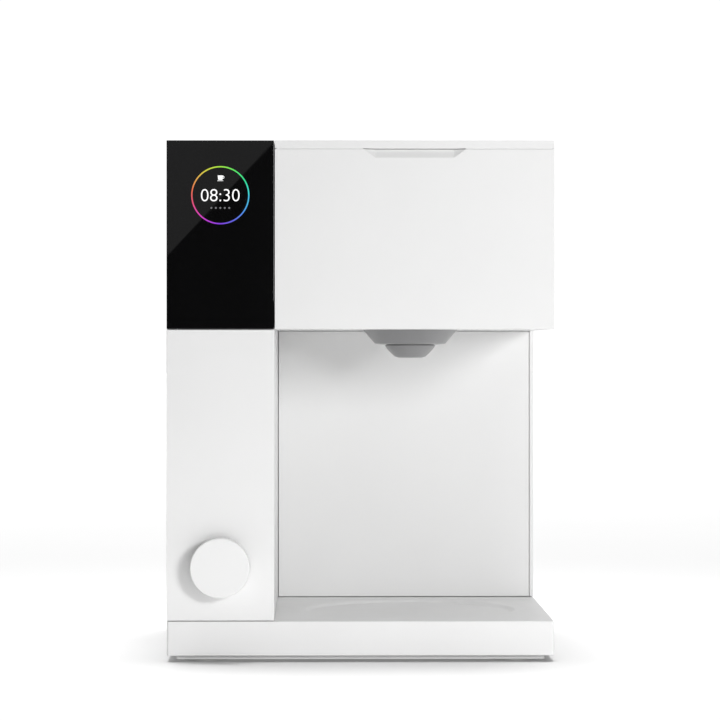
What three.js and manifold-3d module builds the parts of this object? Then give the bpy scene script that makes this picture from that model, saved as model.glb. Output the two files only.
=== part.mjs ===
// One-cup brewer: a tower with display, knob and water tank, a head with the brew
// basket, and a base with a cup dish. Millimetres, +Z up, front faces -Y.
// The origin lies on the floor, under the centre of the whole object.
import * as THREE from 'three';
import { ConvexGeometry } from 'three/addons/geometries/ConvexGeometry.js';
import { mergeVertices } from 'three/addons/utils/BufferGeometryUtils.js';
import Module from 'manifold-3d';

const wasm = await Module();
wasm.setup();

// ---------------------------------------------------------------- driving sizes
const WIDTH = 226;
const HEIGHT = 304;
const BODY_DEPTH = 213;
const TOWER_WIDTH = 62.6;
const HEAD_HEIGHT = 109.8;
const RECESS_DEPTH = 167;
const BASE_HEIGHT = 20.1;
const GROUND_GAP = 3.7;

// Walls and gaps
const WALL = 2.4;
const SEAM = 0.4;
const FIT = 0.3;
const CORNER_R = 1.5;

// Base
const DECK_THICKNESS = 3.6;
const DISH_R = 64;
const DISH_RIM = 3;
const DISH_DEPTH = 1.8;
const PLINTH_INSET = 5.2;
const PLINTH_BOTTOM = 1.3;
const PLATE_THICKNESS = 3;
const FOOT_R = 14.5;
const FOOT_SETBACK = 8;
const FOOT_SIDE_INSET = 22;
const FOOT_STEM_R = 3;
const SCREW_SHANK_R = 1;
const SCREW_HEAD_R = 3;
const SCREW_LENGTH = 13;
const POST_R = 4.5;

// Knob and its encoder
const KNOB_R = 17.35;
const KNOB_PROUD = 13;
const KNOB_Z = 55.7;
const KNOB_GAP = 1.6;
const KNOB_BEVEL = 0.8;
const SHAFT_R = 3;
const KNOB_BORE_DEPTH = 8.4;
const BUSH_SLEEVE_R = 6;
const ENCODER_SIDE = 14;

// Display
const DISPLAY_DROP = 31.95;
const DISPLAY_SIDE = 44;
const FRAME_DEPTH = 5.7;

// Lids and hinges
const LID_THICKNESS = 4.6;
const HINGE_SETBACK = 17;
const LUG_WIDTH = 6;
const PIN_R = 1;
const SCOOP_WIDTH = 60;
const SCOOP_FLOOR = 46;
const SCOOP_HEIGHT = 5;
const SCOOP_DEPTH = 3;

// Brew parts, turned about the brew axis
const BASKET_RIM_R = 51;
const BASKET_TOP_R = 46;
const BASKET_TAPER = 6;
const BASKET_WALL = 1.6;
const BASKET_HEIGHT = 67.5;
const RIM_BELOW_LID = 12.9;
const FILTER_WALL = 0.8;
const SHOWER_R = 40;
const SPOUT_NECK_R = 28.8;
const SPOUT_LIP_R = 21.5;
const SPOUT_DROP = 9;
const NOZZLE_R = 15.5;
const NOZZLE_TIP_R = 7;
const NOZZLE_DROP = 8;
const NOZZLE_TRAVEL = 3;
const STEM_R = 5;

// Water tank
const TANK_DEPTH = 125;
const TANK_WALL = 2.2;
const TANK_FLOOR_LIFT = 9.8;
const COLLAR_HEIGHT = 8;
const VALVE_R = 7.5;

// Pump, heater and hoses
const PUMP_R = 16;
const PUMP_LENGTH = 70;
const HEATER_WIDTH = 54;
const HEATER_DEPTH = 28;
const HEATER_HEIGHT = 75;
const HOSE_R = 4;
const PORT_R = 6;
const SPIGOT_LENGTH = 8;
const INLET_WIDTH = 27;
const INLET_HEIGHT = 19;

// ---------------------------------------------------------------- derived places
const LEFT = -WIDTH / 2;
const RIGHT = WIDTH / 2;
const FRONT = KNOB_PROUD - (BODY_DEPTH + KNOB_PROUD) / 2;
const REAR = FRONT + BODY_DEPTH;
const BASE_TOP = GROUND_GAP + BASE_HEIGHT;
const PLATE_TOP = PLINTH_BOTTOM + PLATE_THICKNESS;
const PANEL_FLOOR = BASE_TOP + SEAM;
const HEAD_BOTTOM = HEIGHT - HEAD_HEIGHT;
const TOWER_RIGHT = LEFT + TOWER_WIDTH;
const TOWER_X = (LEFT + TOWER_RIGHT) / 2;
const HEAD_LEFT = TOWER_RIGHT + SEAM;
const BACK_Y = FRONT + RECESS_DEPTH;
const LID_BOTTOM = HEIGHT - LID_THICKNESS;
const PANEL_TOP = LID_BOTTOM - SEAM;
const BREW_X = (HEAD_LEFT + RIGHT) / 2;
const BREW_Y = (FRONT + BACK_Y) / 2;
const HINGE_Z = HEIGHT - LID_THICKNESS / 2;
const HINGE_Y = REAR - HINGE_SETBACK;
const KNUCKLE_R = LID_THICKNESS / 2;
const TANK_HINGE_Y = REAR - KNUCKLE_R;
const TANK_FRONT = REAR - TANK_DEPTH;
const TANK_RIGHT = TOWER_RIGHT - WALL - SEAM;
const TANK_X = (LEFT + TANK_RIGHT) / 2;
const INNER_FRONT = FRONT + WALL + FIT;
const INNER_REAR = REAR - WALL - FIT;
const INNER_LEFT = LEFT + WALL + FIT;
const INNER_RIGHT = RIGHT - WALL - FIT;
const PARTITION_LEFT = TOWER_RIGHT - WALL;
const BAY_WALL_FRONT = TANK_FRONT - SEAM - WALL;
const DISPLAY_Z = HEIGHT - DISPLAY_DROP;
const RIM_TOP = LID_BOTTOM - RIM_BELOW_LID;
const DECK_BOTTOM = RIM_TOP - WALL;
const WELL_TOP = DECK_BOTTOM - FIT;
const BASKET_FLOOR = RIM_TOP - BASKET_HEIGHT;
const BASKET_FLOOR_R = BASKET_TOP_R - BASKET_TAPER;
const WELL_R = BASKET_TOP_R + 1.5;
const WELL_FLANGE_R = BASKET_RIM_R + 5;
const WELL_FLOOR = BASKET_FLOOR - FIT - 2 * WALL;
const SPOUT_TOP = HEAD_BOTTOM + WALL + FIT + WALL;
const SPOUT_BOTTOM = HEAD_BOTTOM - SPOUT_DROP;
const REAR_MID_Y = (BACK_Y + WALL + REAR - WALL) / 2;
const PORT_Y = BREW_Y + WELL_FLANGE_R + 22.5;
const PORT_BOTTOM = RIM_TOP - 18;
const PUMP_X = HEAD_LEFT + 25;
const METER_BOTTOM = BASE_TOP + 22;
const METER_HEIGHT = 20;
const METER_R = 12;
const METER_INLET = METER_BOTTOM - 6;
const PUMP_BOTTOM = METER_BOTTOM + METER_HEIGHT + FIT + SPIGOT_LENGTH;
const PUMP_TOP = PUMP_BOTTOM + PUMP_LENGTH;
const HEATER_X = PUMP_X + 62;
const HEATER_BOTTOM = PUMP_TOP - HEATER_HEIGHT;
const DOCK_Y = REAR - 33;
const INLET_X = RIGHT - 30;
const INLET_Z = BASE_TOP + 21;

// ---------------------------------------------------------------- solids
/** Volume enclosed by an indexed triangle mesh; negative when it is inside out. */
function signedVolume(positions, index) {
  const corner = [new THREE.Vector3(), new THREE.Vector3(), new THREE.Vector3()];
  let volume = 0;
  for (let i = 0; i < index.length; i += 3) {
    corner.forEach((point, j) => point.fromArray(positions, index[i + j] * 3));
    volume += corner[0].dot(corner[1].clone().cross(corner[2])) / 6;
  }
  return volume;
}

/** Turns a closed three.js geometry into a solid that can be cut and joined. */
function solid(geometry) {
  const bare = geometry.clone();
  bare.deleteAttribute('normal');
  bare.deleteAttribute('uv');
  const merged = mergeVertices(bare, 1e-4);
  const vertProperties = Float32Array.from(merged.attributes.position.array);
  const triVerts = Uint32Array.from(merged.index.array);
  if (signedVolume(vertProperties, triVerts) < 0) {
    triVerts.reverse();
  }
  return new wasm.Manifold(new wasm.Mesh({ numProp: 3, vertProperties, triVerts }));
}

/** Joins several solids into one. */
function join(first, ...others) {
  return others.reduce((total, other) => total.add(other), first);
}

/** Cuts several solids out of one. */
function cut(first, ...others) {
  return others.reduce((rest, other) => rest.subtract(other), first);
}

/** A box between two values on each axis. */
function box([x0, x1], [y0, y1], [z0, z1]) {
  const geometry = new THREE.BoxGeometry(x1 - x0, y1 - y0, z1 - z0);
  geometry.translate((x0 + x1) / 2, (y0 + y1) / 2, (z0 + z1) / 2);
  return solid(geometry);
}

/** Extrudes an outline from one level to another, then sends its x, y and height to three axes. */
function prism(outline, [from, to], [xAxis, yAxis, heightAxis], curveSegments = 5) {
  const options = { depth: to - from, bevelEnabled: false, curveSegments };
  const geometry = new THREE.ExtrudeGeometry(outline, options);
  geometry.translate(0, 0, from);
  geometry.applyMatrix4(new THREE.Matrix4().makeBasis(xAxis, yAxis, heightAxis));
  return solid(geometry);
}

const X_AXIS = new THREE.Vector3(1, 0, 0);
const Y_AXIS = new THREE.Vector3(0, 1, 0);
const Z_AXIS = new THREE.Vector3(0, 0, 1);
const UPRIGHT = [X_AXIS, Y_AXIS, Z_AXIS];
const ALONG_X = [Y_AXIS, Z_AXIS, X_AXIS];
const ALONG_Y = [X_AXIS, Z_AXIS, Y_AXIS];

/** A closed outline through corner points. */
function outlineOf(points) {
  return new THREE.Shape(points.map(([x, y]) => new THREE.Vector2(x, y)));
}

/** A rectangle with rounded corners. */
function roundedOutline([x0, x1], [y0, y1], r) {
  const shape = new THREE.Shape();
  shape.absarc(x1 - r, y0 + r, r, -Math.PI / 2, 0, false);
  shape.absarc(x1 - r, y1 - r, r, 0, Math.PI / 2, false);
  shape.absarc(x0 + r, y1 - r, r, Math.PI / 2, Math.PI, false);
  shape.absarc(x0 + r, y0 + r, r, Math.PI, Math.PI * 1.5, false);
  shape.closePath();
  return shape;
}

/** A box whose upright edges are rounded. */
function roundedBox(xs, ys, zs, r) {
  return prism(roundedOutline(xs, ys, r), zs, UPRIGHT);
}

/** A solid of revolution about a vertical axis, from [radius, z] points. */
function turned(profile, [x, y] = [0, 0], segments = 28) {
  const points = profile.map(([r, z]) => new THREE.Vector2(r, z));
  const geometry = new THREE.LatheGeometry(points, segments);
  geometry.rotateX(Math.PI / 2);
  geometry.translate(x, y, 0);
  return solid(geometry);
}

/** A vertical cylinder between two heights. */
function post(r, [z0, z1], at = [0, 0], segments = 16) {
  return turned([[0, z0], [r, z0], [r, z1], [0, z1]], at, segments);
}

/** A vertical ring with a rectangular section. */
function ring(inner, outer, [z0, z1], at = [0, 0], segments = 20) {
  return turned([[inner, z0], [outer, z0], [outer, z1], [inner, z1], [inner, z0]], at, segments);
}

/** A cylinder along X, centred on a point of the YZ plane. */
function rod(r, xs, [y, z], segments = 16) {
  const circle = new THREE.Shape();
  circle.absarc(y, z, r, 0, Math.PI * 2, false);
  return prism(circle, xs, ALONG_X, segments / 2);
}

/** A solid of revolution about Y, from [radius, y] points. */
function turnedAlongY(profile, [x, z] = [0, 0], segments = 20) {
  const points = profile.map(([r, y]) => new THREE.Vector2(r, y));
  const geometry = new THREE.LatheGeometry(points, segments);
  geometry.translate(x, 0, z);
  return solid(geometry);
}

/** A round hose through points, with flat ends. */
function hose(points, r, steps = 20, sides = 8) {
  const path = new THREE.CatmullRomCurve3(points.map((p) => new THREE.Vector3(...p)));
  const section = new THREE.Shape();
  section.absarc(0, 0, r, 0, Math.PI * 2, false);
  const options = { steps, curveSegments: sides / 2, extrudePath: path, bevelEnabled: false };
  return solid(new THREE.ExtrudeGeometry(section, options));
}

/** A named mesh of one solid. */
function piece(name, body, material) {
  const { vertProperties, triVerts } = body.getMesh();
  const geometry = new THREE.BufferGeometry();
  geometry.setAttribute('position', new THREE.BufferAttribute(vertProperties, 3));
  geometry.setIndex(new THREE.BufferAttribute(triVerts, 1));
  geometry.computeVertexNormals();
  const mesh = new THREE.Mesh(geometry, new THREE.MeshStandardMaterial(material));
  mesh.name = name;
  return mesh;
}

/** A group of pieces, placed at a point. */
function group(pieces, [x, y, z] = [0, 0, 0]) {
  const assembly = new THREE.Group();
  assembly.position.set(x, y, z);
  assembly.add(...pieces);
  return assembly;
}

// ---------------------------------------------------------------- materials
const SHELL_WHITE = { color: 0xf2f2f0, roughness: 0.45, metalness: 0 };
const KNOB_WHITE = { color: 0xf5f5f3, roughness: 0.55, metalness: 0 };
const GLOSS_BLACK = { color: 0x0b0b0c, roughness: 0.06, metalness: 0 };
const DARK_PLASTIC = { color: 0x2a2b2d, roughness: 0.6, metalness: 0 };
const SPOUT_GREY = { color: 0x8f9093, roughness: 0.5, metalness: 0 };
const SMOKED_CLEAR = { color: 0xc9d0d4, roughness: 0.12, metalness: 0 };
const PALE_RUBBER = { color: 0xd2d3d4, roughness: 0.8, metalness: 0 };
const GREY_SILICONE = { color: 0xb4b6b8, roughness: 0.7, metalness: 0 };
const STEEL = { color: 0xc4c6c8, roughness: 0.3, metalness: 1 };
const CAST_ALUMINIUM = { color: 0xa5a8ab, roughness: 0.5, metalness: 0.9 };
const BOARD_GREEN = { color: 0x1f5a3a, roughness: 0.6, metalness: 0 };

// ---------------------------------------------------------------- base
/** The four corners at given distances in from the sides, front and rear. */
function corners(sideInset, frontInset, rearInset) {
  const xs = [['left', LEFT + sideInset], ['right', RIGHT - sideInset]];
  const ys = [['front', FRONT + frontInset], ['rear', REAR - rearInset]];
  return ys.flatMap(([end, y]) => xs.map(([side, x]) => ({ label: `${end}_${side}`, at: [x, y] })));
}

const FEET = corners(FOOT_SIDE_INSET, FOOT_SETBACK + FOOT_R, FOOT_SETBACK + FOOT_R);
const SCREWS = corners(FOOT_SIDE_INSET + FOOT_R + 10, FOOT_SETBACK + FOOT_R - 5, FOOT_SETBACK + 4);
const DOCK = [TANK_X, DOCK_Y];
const METER = [PUMP_X, REAR_MID_Y];
const SCREW_SEAT = PLINTH_BOTTOM + 1.6;

/** The white base: a deck with the cup dish, walls, and posts for the plate's screws. */
function baseHousing() {
  const deckBottom = BASE_TOP - DECK_THICKNESS;
  const shell = roundedBox([LEFT, RIGHT], [FRONT, REAR], [GROUND_GAP, BASE_TOP], CORNER_R);
  const hollow = box([LEFT + WALL, RIGHT - WALL], [FRONT + WALL, REAR - WALL], [0, deckBottom]);
  const dishFloor = BASE_TOP - DISH_DEPTH;
  const dishProfile = [[0, dishFloor], [DISH_R - DISH_RIM, dishFloor], [DISH_R, BASE_TOP]];
  const dish = turned([...dishProfile, [DISH_R, HEIGHT], [0, HEIGHT]], [BREW_X, BREW_Y], 56);
  const posts = SCREWS.map(({ at }) => post(POST_R, [PLATE_TOP + FIT, deckBottom + 1], at, 12));
  const pilotTop = SCREW_SEAT + SCREW_LENGTH + 1;
  const pilots = SCREWS.map(({ at }) => post(SCREW_SHANK_R + FIT, [0, pilotTop], at, 8));
  const hoseWays = [DOCK, METER].map((at) => post(HOSE_R + 2, [0, HEIGHT], at));
  return cut(join(cut(shell, hollow), ...posts), dish, ...pilots, ...hoseWays);
}

/** The set-back plinth plate, with holes for the feet and screws. */
function basePlate() {
  const xs = [LEFT + PLINTH_INSET, RIGHT - PLINTH_INSET];
  const ys = [FRONT + PLINTH_INSET, REAR - PLINTH_INSET];
  const plate = roundedBox(xs, ys, [PLINTH_BOTTOM, PLATE_TOP], CORNER_R);
  const stems = FEET.map(({ at }) => post(FOOT_STEM_R + FIT, [0, BASE_TOP], at, 12));
  const sinks = SCREWS.map(({ at }) => post(SCREW_HEAD_R + FIT, [0, SCREW_SEAT], at, 12));
  const shanks = SCREWS.map(({ at }) => post(SCREW_SHANK_R + FIT, [0, BASE_TOP], at, 8));
  return cut(plate, ...stems, ...sinks, ...shanks);
}

/** A round rubber foot with its plug stem. */
function foot(at) {
  const pad = post(FOOT_R, [0, PLINTH_BOTTOM - FIT], at, 24);
  return join(pad, post(FOOT_STEM_R, [0, PLATE_TOP + 1.5], at, 12));
}

/** A pan-head screw that holds the plate up to its post. */
function plateScrew(at) {
  const head = post(SCREW_HEAD_R, [SCREW_SEAT - 1.5, SCREW_SEAT - FIT], at, 12);
  return join(head, post(SCREW_SHANK_R, [SCREW_SEAT - 1, SCREW_SEAT + SCREW_LENGTH], at, 8));
}

const base = group([
  piece('base_housing', baseHousing(), SHELL_WHITE),
  piece('base_plate', basePlate(), SHELL_WHITE),
  ...FEET.map(({ label, at }) => piece(`foot_${label}`, foot(at), PALE_RUBBER)),
  ...SCREWS.map(({ label, at }) => piece(`base_screw_${label}`, plateScrew(at), STEEL)),
]);

// ---------------------------------------------------------------- tower
/** The flat white front of the tower, with the knob's hole. */
function towerFront() {
  const panel = box([LEFT, TOWER_RIGHT], [FRONT, FRONT + WALL], [PANEL_FLOOR, HEAD_BOTTOM - SEAM]);
  const hole = turnedAlongY([[0, FRONT - 1], [BUSH_SLEEVE_R + FIT, FRONT - 1],
    [BUSH_SLEEVE_R + FIT, FRONT + WALL + 1], [0, FRONT + WALL + 1]], [TOWER_X, KNOB_Z]);
  return cut(panel, hole);
}

/** The wall between the tower and the recess: under the top panel, then full height by the tank. */
function towerInnerPanel() {
  const top = HEIGHT - WALL - FIT;
  const outline = outlineOf([[INNER_FRONT, PANEL_FLOOR], [REAR, PANEL_FLOOR], [REAR, HEIGHT],
    [TANK_FRONT, HEIGHT], [TANK_FRONT, top], [INNER_FRONT, top]]);
  return prism(outline, [PARTITION_LEFT, TOWER_RIGHT], ALONG_X);
}

/** The frame that the glass is bonded to, with a window for the display. */
function displayFrame() {
  const xs = [INNER_LEFT, PARTITION_LEFT - FIT];
  const ys = [INNER_FRONT, INNER_FRONT + FRAME_DEPTH];
  const frame = box(xs, ys, [HEAD_BOTTOM + FIT, HEIGHT - WALL - FIT]);
  const half = DISPLAY_SIDE / 2 + FIT;
  const windowZs = [DISPLAY_Z - half, DISPLAY_Z + half];
  return cut(frame, box([TOWER_X - half, TOWER_X + half], [ys[0] - 1, ys[1] + 1], windowZs));
}

const towerYs = [INNER_FRONT + SEAM - FIT, TANK_FRONT - SEAM];
const underTopZs = [PANEL_FLOOR, HEIGHT - WALL - FIT];
const bayWallYs = [BAY_WALL_FRONT, TANK_FRONT - SEAM];
const displayHalf = DISPLAY_SIDE / 2;
const displayXs = [TOWER_X - displayHalf, TOWER_X + displayHalf];
const boardY = INNER_FRONT + FRAME_DEPTH + 4;
const boardZs = [HEAD_BOTTOM + 10, HEIGHT - 12];
const tower = group([
  piece('tower_front_panel', towerFront(), SHELL_WHITE),
  piece('tower_side_panel', box([LEFT, LEFT + WALL], towerYs, underTopZs), SHELL_WHITE),
  piece('tower_top_panel', box([LEFT, TOWER_RIGHT], towerYs, [HEIGHT - WALL, HEIGHT]), SHELL_WHITE),
  piece('tower_inner_panel', towerInnerPanel(), SHELL_WHITE),
  piece('tank_bay_wall', box([INNER_LEFT, PARTITION_LEFT - FIT], bayWallYs, underTopZs), SHELL_WHITE),
  piece('display_glass', box([LEFT, TOWER_RIGHT], [FRONT, FRONT + WALL], [HEAD_BOTTOM, HEIGHT]), GLOSS_BLACK),
  piece('display_frame', displayFrame(), DARK_PLASTIC),
  piece('display_module', box(displayXs, [INNER_FRONT, INNER_FRONT + 4],
    [DISPLAY_Z - displayHalf, DISPLAY_Z + displayHalf]), DARK_PLASTIC),
  piece('control_board', box(displayXs, [boardY, boardY + 1.6], boardZs), BOARD_GREEN),
]);

// ---------------------------------------------------------------- knob
const KNOB_FACE = -KNOB_PROUD;
const KNOB_BACK = -KNOB_GAP;
const BUSH_FLANGE = [WALL + FIT, WALL + FIT + 1.2];
const ENCODER_FRONT = BUSH_FLANGE[1] + FIT;
const ENCODER_DEPTH = 7;
const SHAFT_BORE_R = SHAFT_R + FIT;

/** The white knob: a bevelled disc with a blind bore at the back. */
function knob() {
  const rim = KNOB_R - KNOB_BEVEL;
  const disc = turnedAlongY([[0, KNOB_BACK], [rim, KNOB_BACK], [KNOB_R, KNOB_BACK - KNOB_BEVEL],
    [KNOB_R, KNOB_FACE + KNOB_BEVEL], [rim, KNOB_FACE], [0, KNOB_FACE]], [0, 0], 40);
  const bore = turnedAlongY([[0, 1], [SHAFT_BORE_R, 1], [SHAFT_BORE_R, KNOB_BACK - KNOB_BORE_DEPTH],
    [0, KNOB_BACK - KNOB_BORE_DEPTH]]);
  return cut(disc, bore);
}

/** The bush that lines the panel's hole and carries the shaft. */
function knobBush() {
  const flangeR = BUSH_SLEEVE_R + 4;
  return turnedAlongY([[SHAFT_BORE_R, 0], [BUSH_SLEEVE_R, 0], [BUSH_SLEEVE_R, BUSH_FLANGE[0]],
    [flangeR, BUSH_FLANGE[0]], [flangeR, BUSH_FLANGE[1]], [SHAFT_BORE_R, BUSH_FLANGE[1]], [SHAFT_BORE_R, 0]]);
}

/** The encoder's square body, bored for the shaft. */
function encoderBody() {
  const side = [-ENCODER_SIDE / 2, ENCODER_SIDE / 2];
  const body = box(side, [ENCODER_FRONT, ENCODER_FRONT + ENCODER_DEPTH], side);
  const bore = turnedAlongY([[0, 0], [SHAFT_BORE_R, 0], [SHAFT_BORE_R, ENCODER_FRONT + ENCODER_DEPTH - 1],
    [0, ENCODER_FRONT + ENCODER_DEPTH - 1]]);
  return cut(body, bore);
}

const shaftEnd = ENCODER_FRONT + ENCODER_DEPTH - 1 - FIT;
const shaftTip = KNOB_BACK - KNOB_BORE_DEPTH + 2;
const knobGroup = group([
  piece('knob', knob(), KNOB_WHITE),
  piece('encoder_shaft', turnedAlongY([[0, shaftTip], [SHAFT_R, shaftTip], [SHAFT_R, shaftEnd],
    [0, shaftEnd]]), STEEL),
  piece('knob_bush', knobBush(), DARK_PLASTIC),
  piece('encoder_body', encoderBody(), STEEL),
], [TOWER_X, FRONT, KNOB_Z]);

// ---------------------------------------------------------------- head and rear body
/** The white front of the head, thickened behind a finger scoop in its top edge. */
function headFront() {
  const floor = PANEL_TOP - SCOOP_HEIGHT;
  const back = FRONT + SCOOP_DEPTH;
  const panel = box([HEAD_LEFT, RIGHT], [FRONT, FRONT + WALL], [HEAD_BOTTOM, PANEL_TOP]);
  const padHalf = SCOOP_WIDTH / 2 + WALL;
  const pad = box([BREW_X - padHalf, BREW_X + padHalf], [FRONT, back + WALL], [floor - 2 * WALL, PANEL_TOP]);
  const scoopCorners = [-1, 1].flatMap((side) => {
    const wide = BREW_X + (side * SCOOP_WIDTH) / 2;
    const narrow = BREW_X + (side * SCOOP_FLOOR) / 2;
    const mouth = [FRONT, FRONT - 1].flatMap((y) =>
      [[wide, y, PANEL_TOP], [wide, y, HEIGHT], [narrow, y, floor]]);
    return [...mouth, [narrow, back, PANEL_TOP], [narrow, back, HEIGHT]];
  });
  const scoop = solid(new ConvexGeometry(scoopCorners.map((corner) => new THREE.Vector3(...corner))));
  return cut(join(panel, pad), scoop);
}

/** The right side: the head's side and the rear body's side in one panel. */
function rightSide() {
  const outline = outlineOf([[BACK_Y, PANEL_FLOOR], [INNER_REAR, PANEL_FLOOR], [INNER_REAR, PANEL_TOP],
    [INNER_FRONT, PANEL_TOP], [INNER_FRONT, HEAD_BOTTOM], [BACK_Y, HEAD_BOTTOM]]);
  return prism(outline, [RIGHT - WALL, RIGHT], ALONG_X);
}

/** The rear cover, with vent slots and the power inlet's hole. */
function rearCover() {
  const cover = box([HEAD_LEFT, RIGHT], [REAR - WALL, REAR], [PANEL_FLOOR, PANEL_TOP]);
  const through = [REAR - WALL - 1, REAR + 1];
  const slots = Array.from({ length: 7 }, (_, i) => {
    const z = HEAD_BOTTOM + 20 + i * 8;
    return box([BREW_X - 32, BREW_X + 32], through, [z, z + 3]);
  });
  const inletXs = [INLET_X - INLET_WIDTH / 2 - FIT, INLET_X + INLET_WIDTH / 2 + FIT];
  const inletZs = [INLET_Z - INLET_HEIGHT / 2 - FIT, INLET_Z + INLET_HEIGHT / 2 + FIT];
  return cut(cover, ...slots, box(inletXs, through, inletZs));
}

/** The head's underside, with the spout's hole. */
function headFloor() {
  const plateYs = [INNER_FRONT, BACK_Y + WALL];
  const plate = box([HEAD_LEFT, INNER_RIGHT], plateYs, [HEAD_BOTTOM, HEAD_BOTTOM + WALL]);
  return cut(plate, post(SPOUT_NECK_R + FIT, [0, HEIGHT], [BREW_X, BREW_Y], 32));
}

/** The deck under the lid, with holes for the basket and the water port. */
function headDeck() {
  const plate = box([HEAD_LEFT, INNER_RIGHT], [INNER_FRONT, INNER_REAR], [DECK_BOTTOM, RIM_TOP]);
  const basketHole = post(BASKET_RIM_R + 2 * FIT, [0, HEIGHT], [BREW_X, BREW_Y], 32);
  return cut(plate, basketHole, post(PORT_R + FIT, [0, HEIGHT], [BREW_X, PORT_Y]));
}

/** Two hinge lugs rising at the ends of a lid, each a block with a round nose and the pin's bore. */
function hingeLugs([x0, x1], [nearY, farY], [floorZ, topZ], pivotY) {
  return [[x0, x0 + LUG_WIDTH], [x1 - LUG_WIDTH, x1]].map((xs) => {
    const block = box(xs, [nearY, farY], [floorZ, topZ]);
    return join(block, rod(KNUCKLE_R, xs, [pivotY, HINGE_Z]));
  });
}

/** The fixed rear strip of the head's top, which carries the lid's hinge pin. */
function hingeCover() {
  const xs = [HEAD_LEFT, RIGHT];
  const strip = box(xs, [HINGE_Y + KNUCKLE_R + SEAM, REAR], [LID_BOTTOM, HEIGHT]);
  const lugs = hingeLugs(xs, [HINGE_Y, REAR], [LID_BOTTOM, HEIGHT], HINGE_Y);
  return cut(join(strip, ...lugs), rod(PIN_R + FIT, [HEAD_LEFT + 1, RIGHT - 1], [HINGE_Y, HINGE_Z], 12));
}

/** The tube that brings hot water up to the lid. */
function waterPort() {
  const bore = HOSE_R - 1.2;
  const flangeR = PORT_R + 4;
  return turned([[bore, PORT_BOTTOM], [PORT_R, PORT_BOTTOM], [PORT_R, WELL_TOP - WALL],
    [flangeR, WELL_TOP - WALL], [flangeR, WELL_TOP], [PORT_R, WELL_TOP], [PORT_R, portTop],
    [bore, portTop], [bore, PORT_BOTTOM]], [BREW_X, PORT_Y], 16);
}

const portTop = RIM_TOP + FIT;
const head = group([
  piece('head_front_panel', headFront(), SHELL_WHITE),
  piece('right_side_panel', rightSide(), SHELL_WHITE),
  piece('back_panel', box([HEAD_LEFT, INNER_RIGHT], [BACK_Y, BACK_Y + WALL],
    [PANEL_FLOOR, HEAD_BOTTOM - FIT]), SHELL_WHITE),
  piece('rear_cover', rearCover(), SHELL_WHITE),
  piece('head_floor', headFloor(), SHELL_WHITE),
  piece('head_deck', headDeck(), SHELL_WHITE),
  piece('hinge_cover', hingeCover(), SHELL_WHITE),
  piece('lid_hinge_pin', rod(PIN_R, [HEAD_LEFT + 1.5, RIGHT - 1.5], [HINGE_Y, HINGE_Z], 12), STEEL),
  piece('water_port', waterPort(), DARK_PLASTIC),
]);

// ---------------------------------------------------------------- lids
/** A lid plate whose rear edge is a hinge barrel, notched at both ends for the lugs. */
function lidPlate([x0, x1], frontY, pivotY) {
  const barrelXs = [x0 + LUG_WIDTH + SEAM, x1 - LUG_WIDTH - SEAM];
  const plate = box([x0, x1], [frontY, pivotY - KNUCKLE_R - SEAM], [LID_BOTTOM, HEIGHT]);
  const tongue = box(barrelXs, [pivotY - KNUCKLE_R - SEAM - 1, pivotY], [LID_BOTTOM, HEIGHT]);
  const barrel = rod(KNUCKLE_R, barrelXs, [pivotY, HINGE_Z]);
  return cut(join(plate, tongue, barrel), rod(PIN_R + FIT, [x0, x1], [pivotY, HINGE_Z], 12));
}

/** The plate under the lid that leads water from the port to the shower. */
function lidLiner() {
  const zs = [LID_BOTTOM - FIT - 4.5, LID_BOTTOM - FIT];
  const disc = post(SHOWER_R + 8, zs, [BREW_X, BREW_Y], 32);
  const arm = box([BREW_X - 9, BREW_X + 9], [BREW_Y + SHOWER_R, PORT_Y + 8], zs);
  const nipple = post(PORT_R - 1, [portTop + FIT, zs[0] + 1], [BREW_X, PORT_Y]);
  const bore = post(HOSE_R - 1.5, [portTop, zs[0] + 2], [BREW_X, PORT_Y], 12);
  return cut(join(disc, arm, nipple), bore);
}

/** The shower plate, with one centre hole and a ring of holes. */
function showerPlate() {
  const top = LID_BOTTOM - 2 * FIT - 4.5;
  const plate = post(SHOWER_R, [top - 2, top], [BREW_X, BREW_Y], 32);
  const holes = Array.from({ length: 8 }, (_, i) => {
    const angle = (i * Math.PI) / 4;
    const at = [BREW_X + 22 * Math.cos(angle), BREW_Y + 22 * Math.sin(angle)];
    return post(1.5, [0, HEIGHT], at, 6);
  });
  return cut(plate, ...holes, post(1.5, [0, HEIGHT], [BREW_X, BREW_Y], 6));
}

const lid = group([
  piece('lid_panel', lidPlate([HEAD_LEFT, RIGHT], FRONT, HINGE_Y), SHELL_WHITE),
  piece('lid_liner', lidLiner(), DARK_PLASTIC),
  piece('shower_plate', showerPlate(), STEEL),
]);

// ---------------------------------------------------------------- brew parts
// These turn about the brew axis, so their radii are measured from it.
/** The fixed well that the basket drops into, flanged under the deck. */
function brewWell() {
  const floorTop = WELL_FLOOR + WALL;
  const outer = WELL_R + WALL;
  const flangeBottom = WELL_TOP - WALL;
  return turned([[STEM_R + 2, WELL_FLOOR], [outer, WELL_FLOOR], [outer, flangeBottom],
    [WELL_FLANGE_R, flangeBottom], [WELL_FLANGE_R, WELL_TOP], [WELL_R, WELL_TOP], [WELL_R, floorTop],
    [STEM_R + 2, floorTop], [STEM_R + 2, WELL_FLOOR]]);
}

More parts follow.
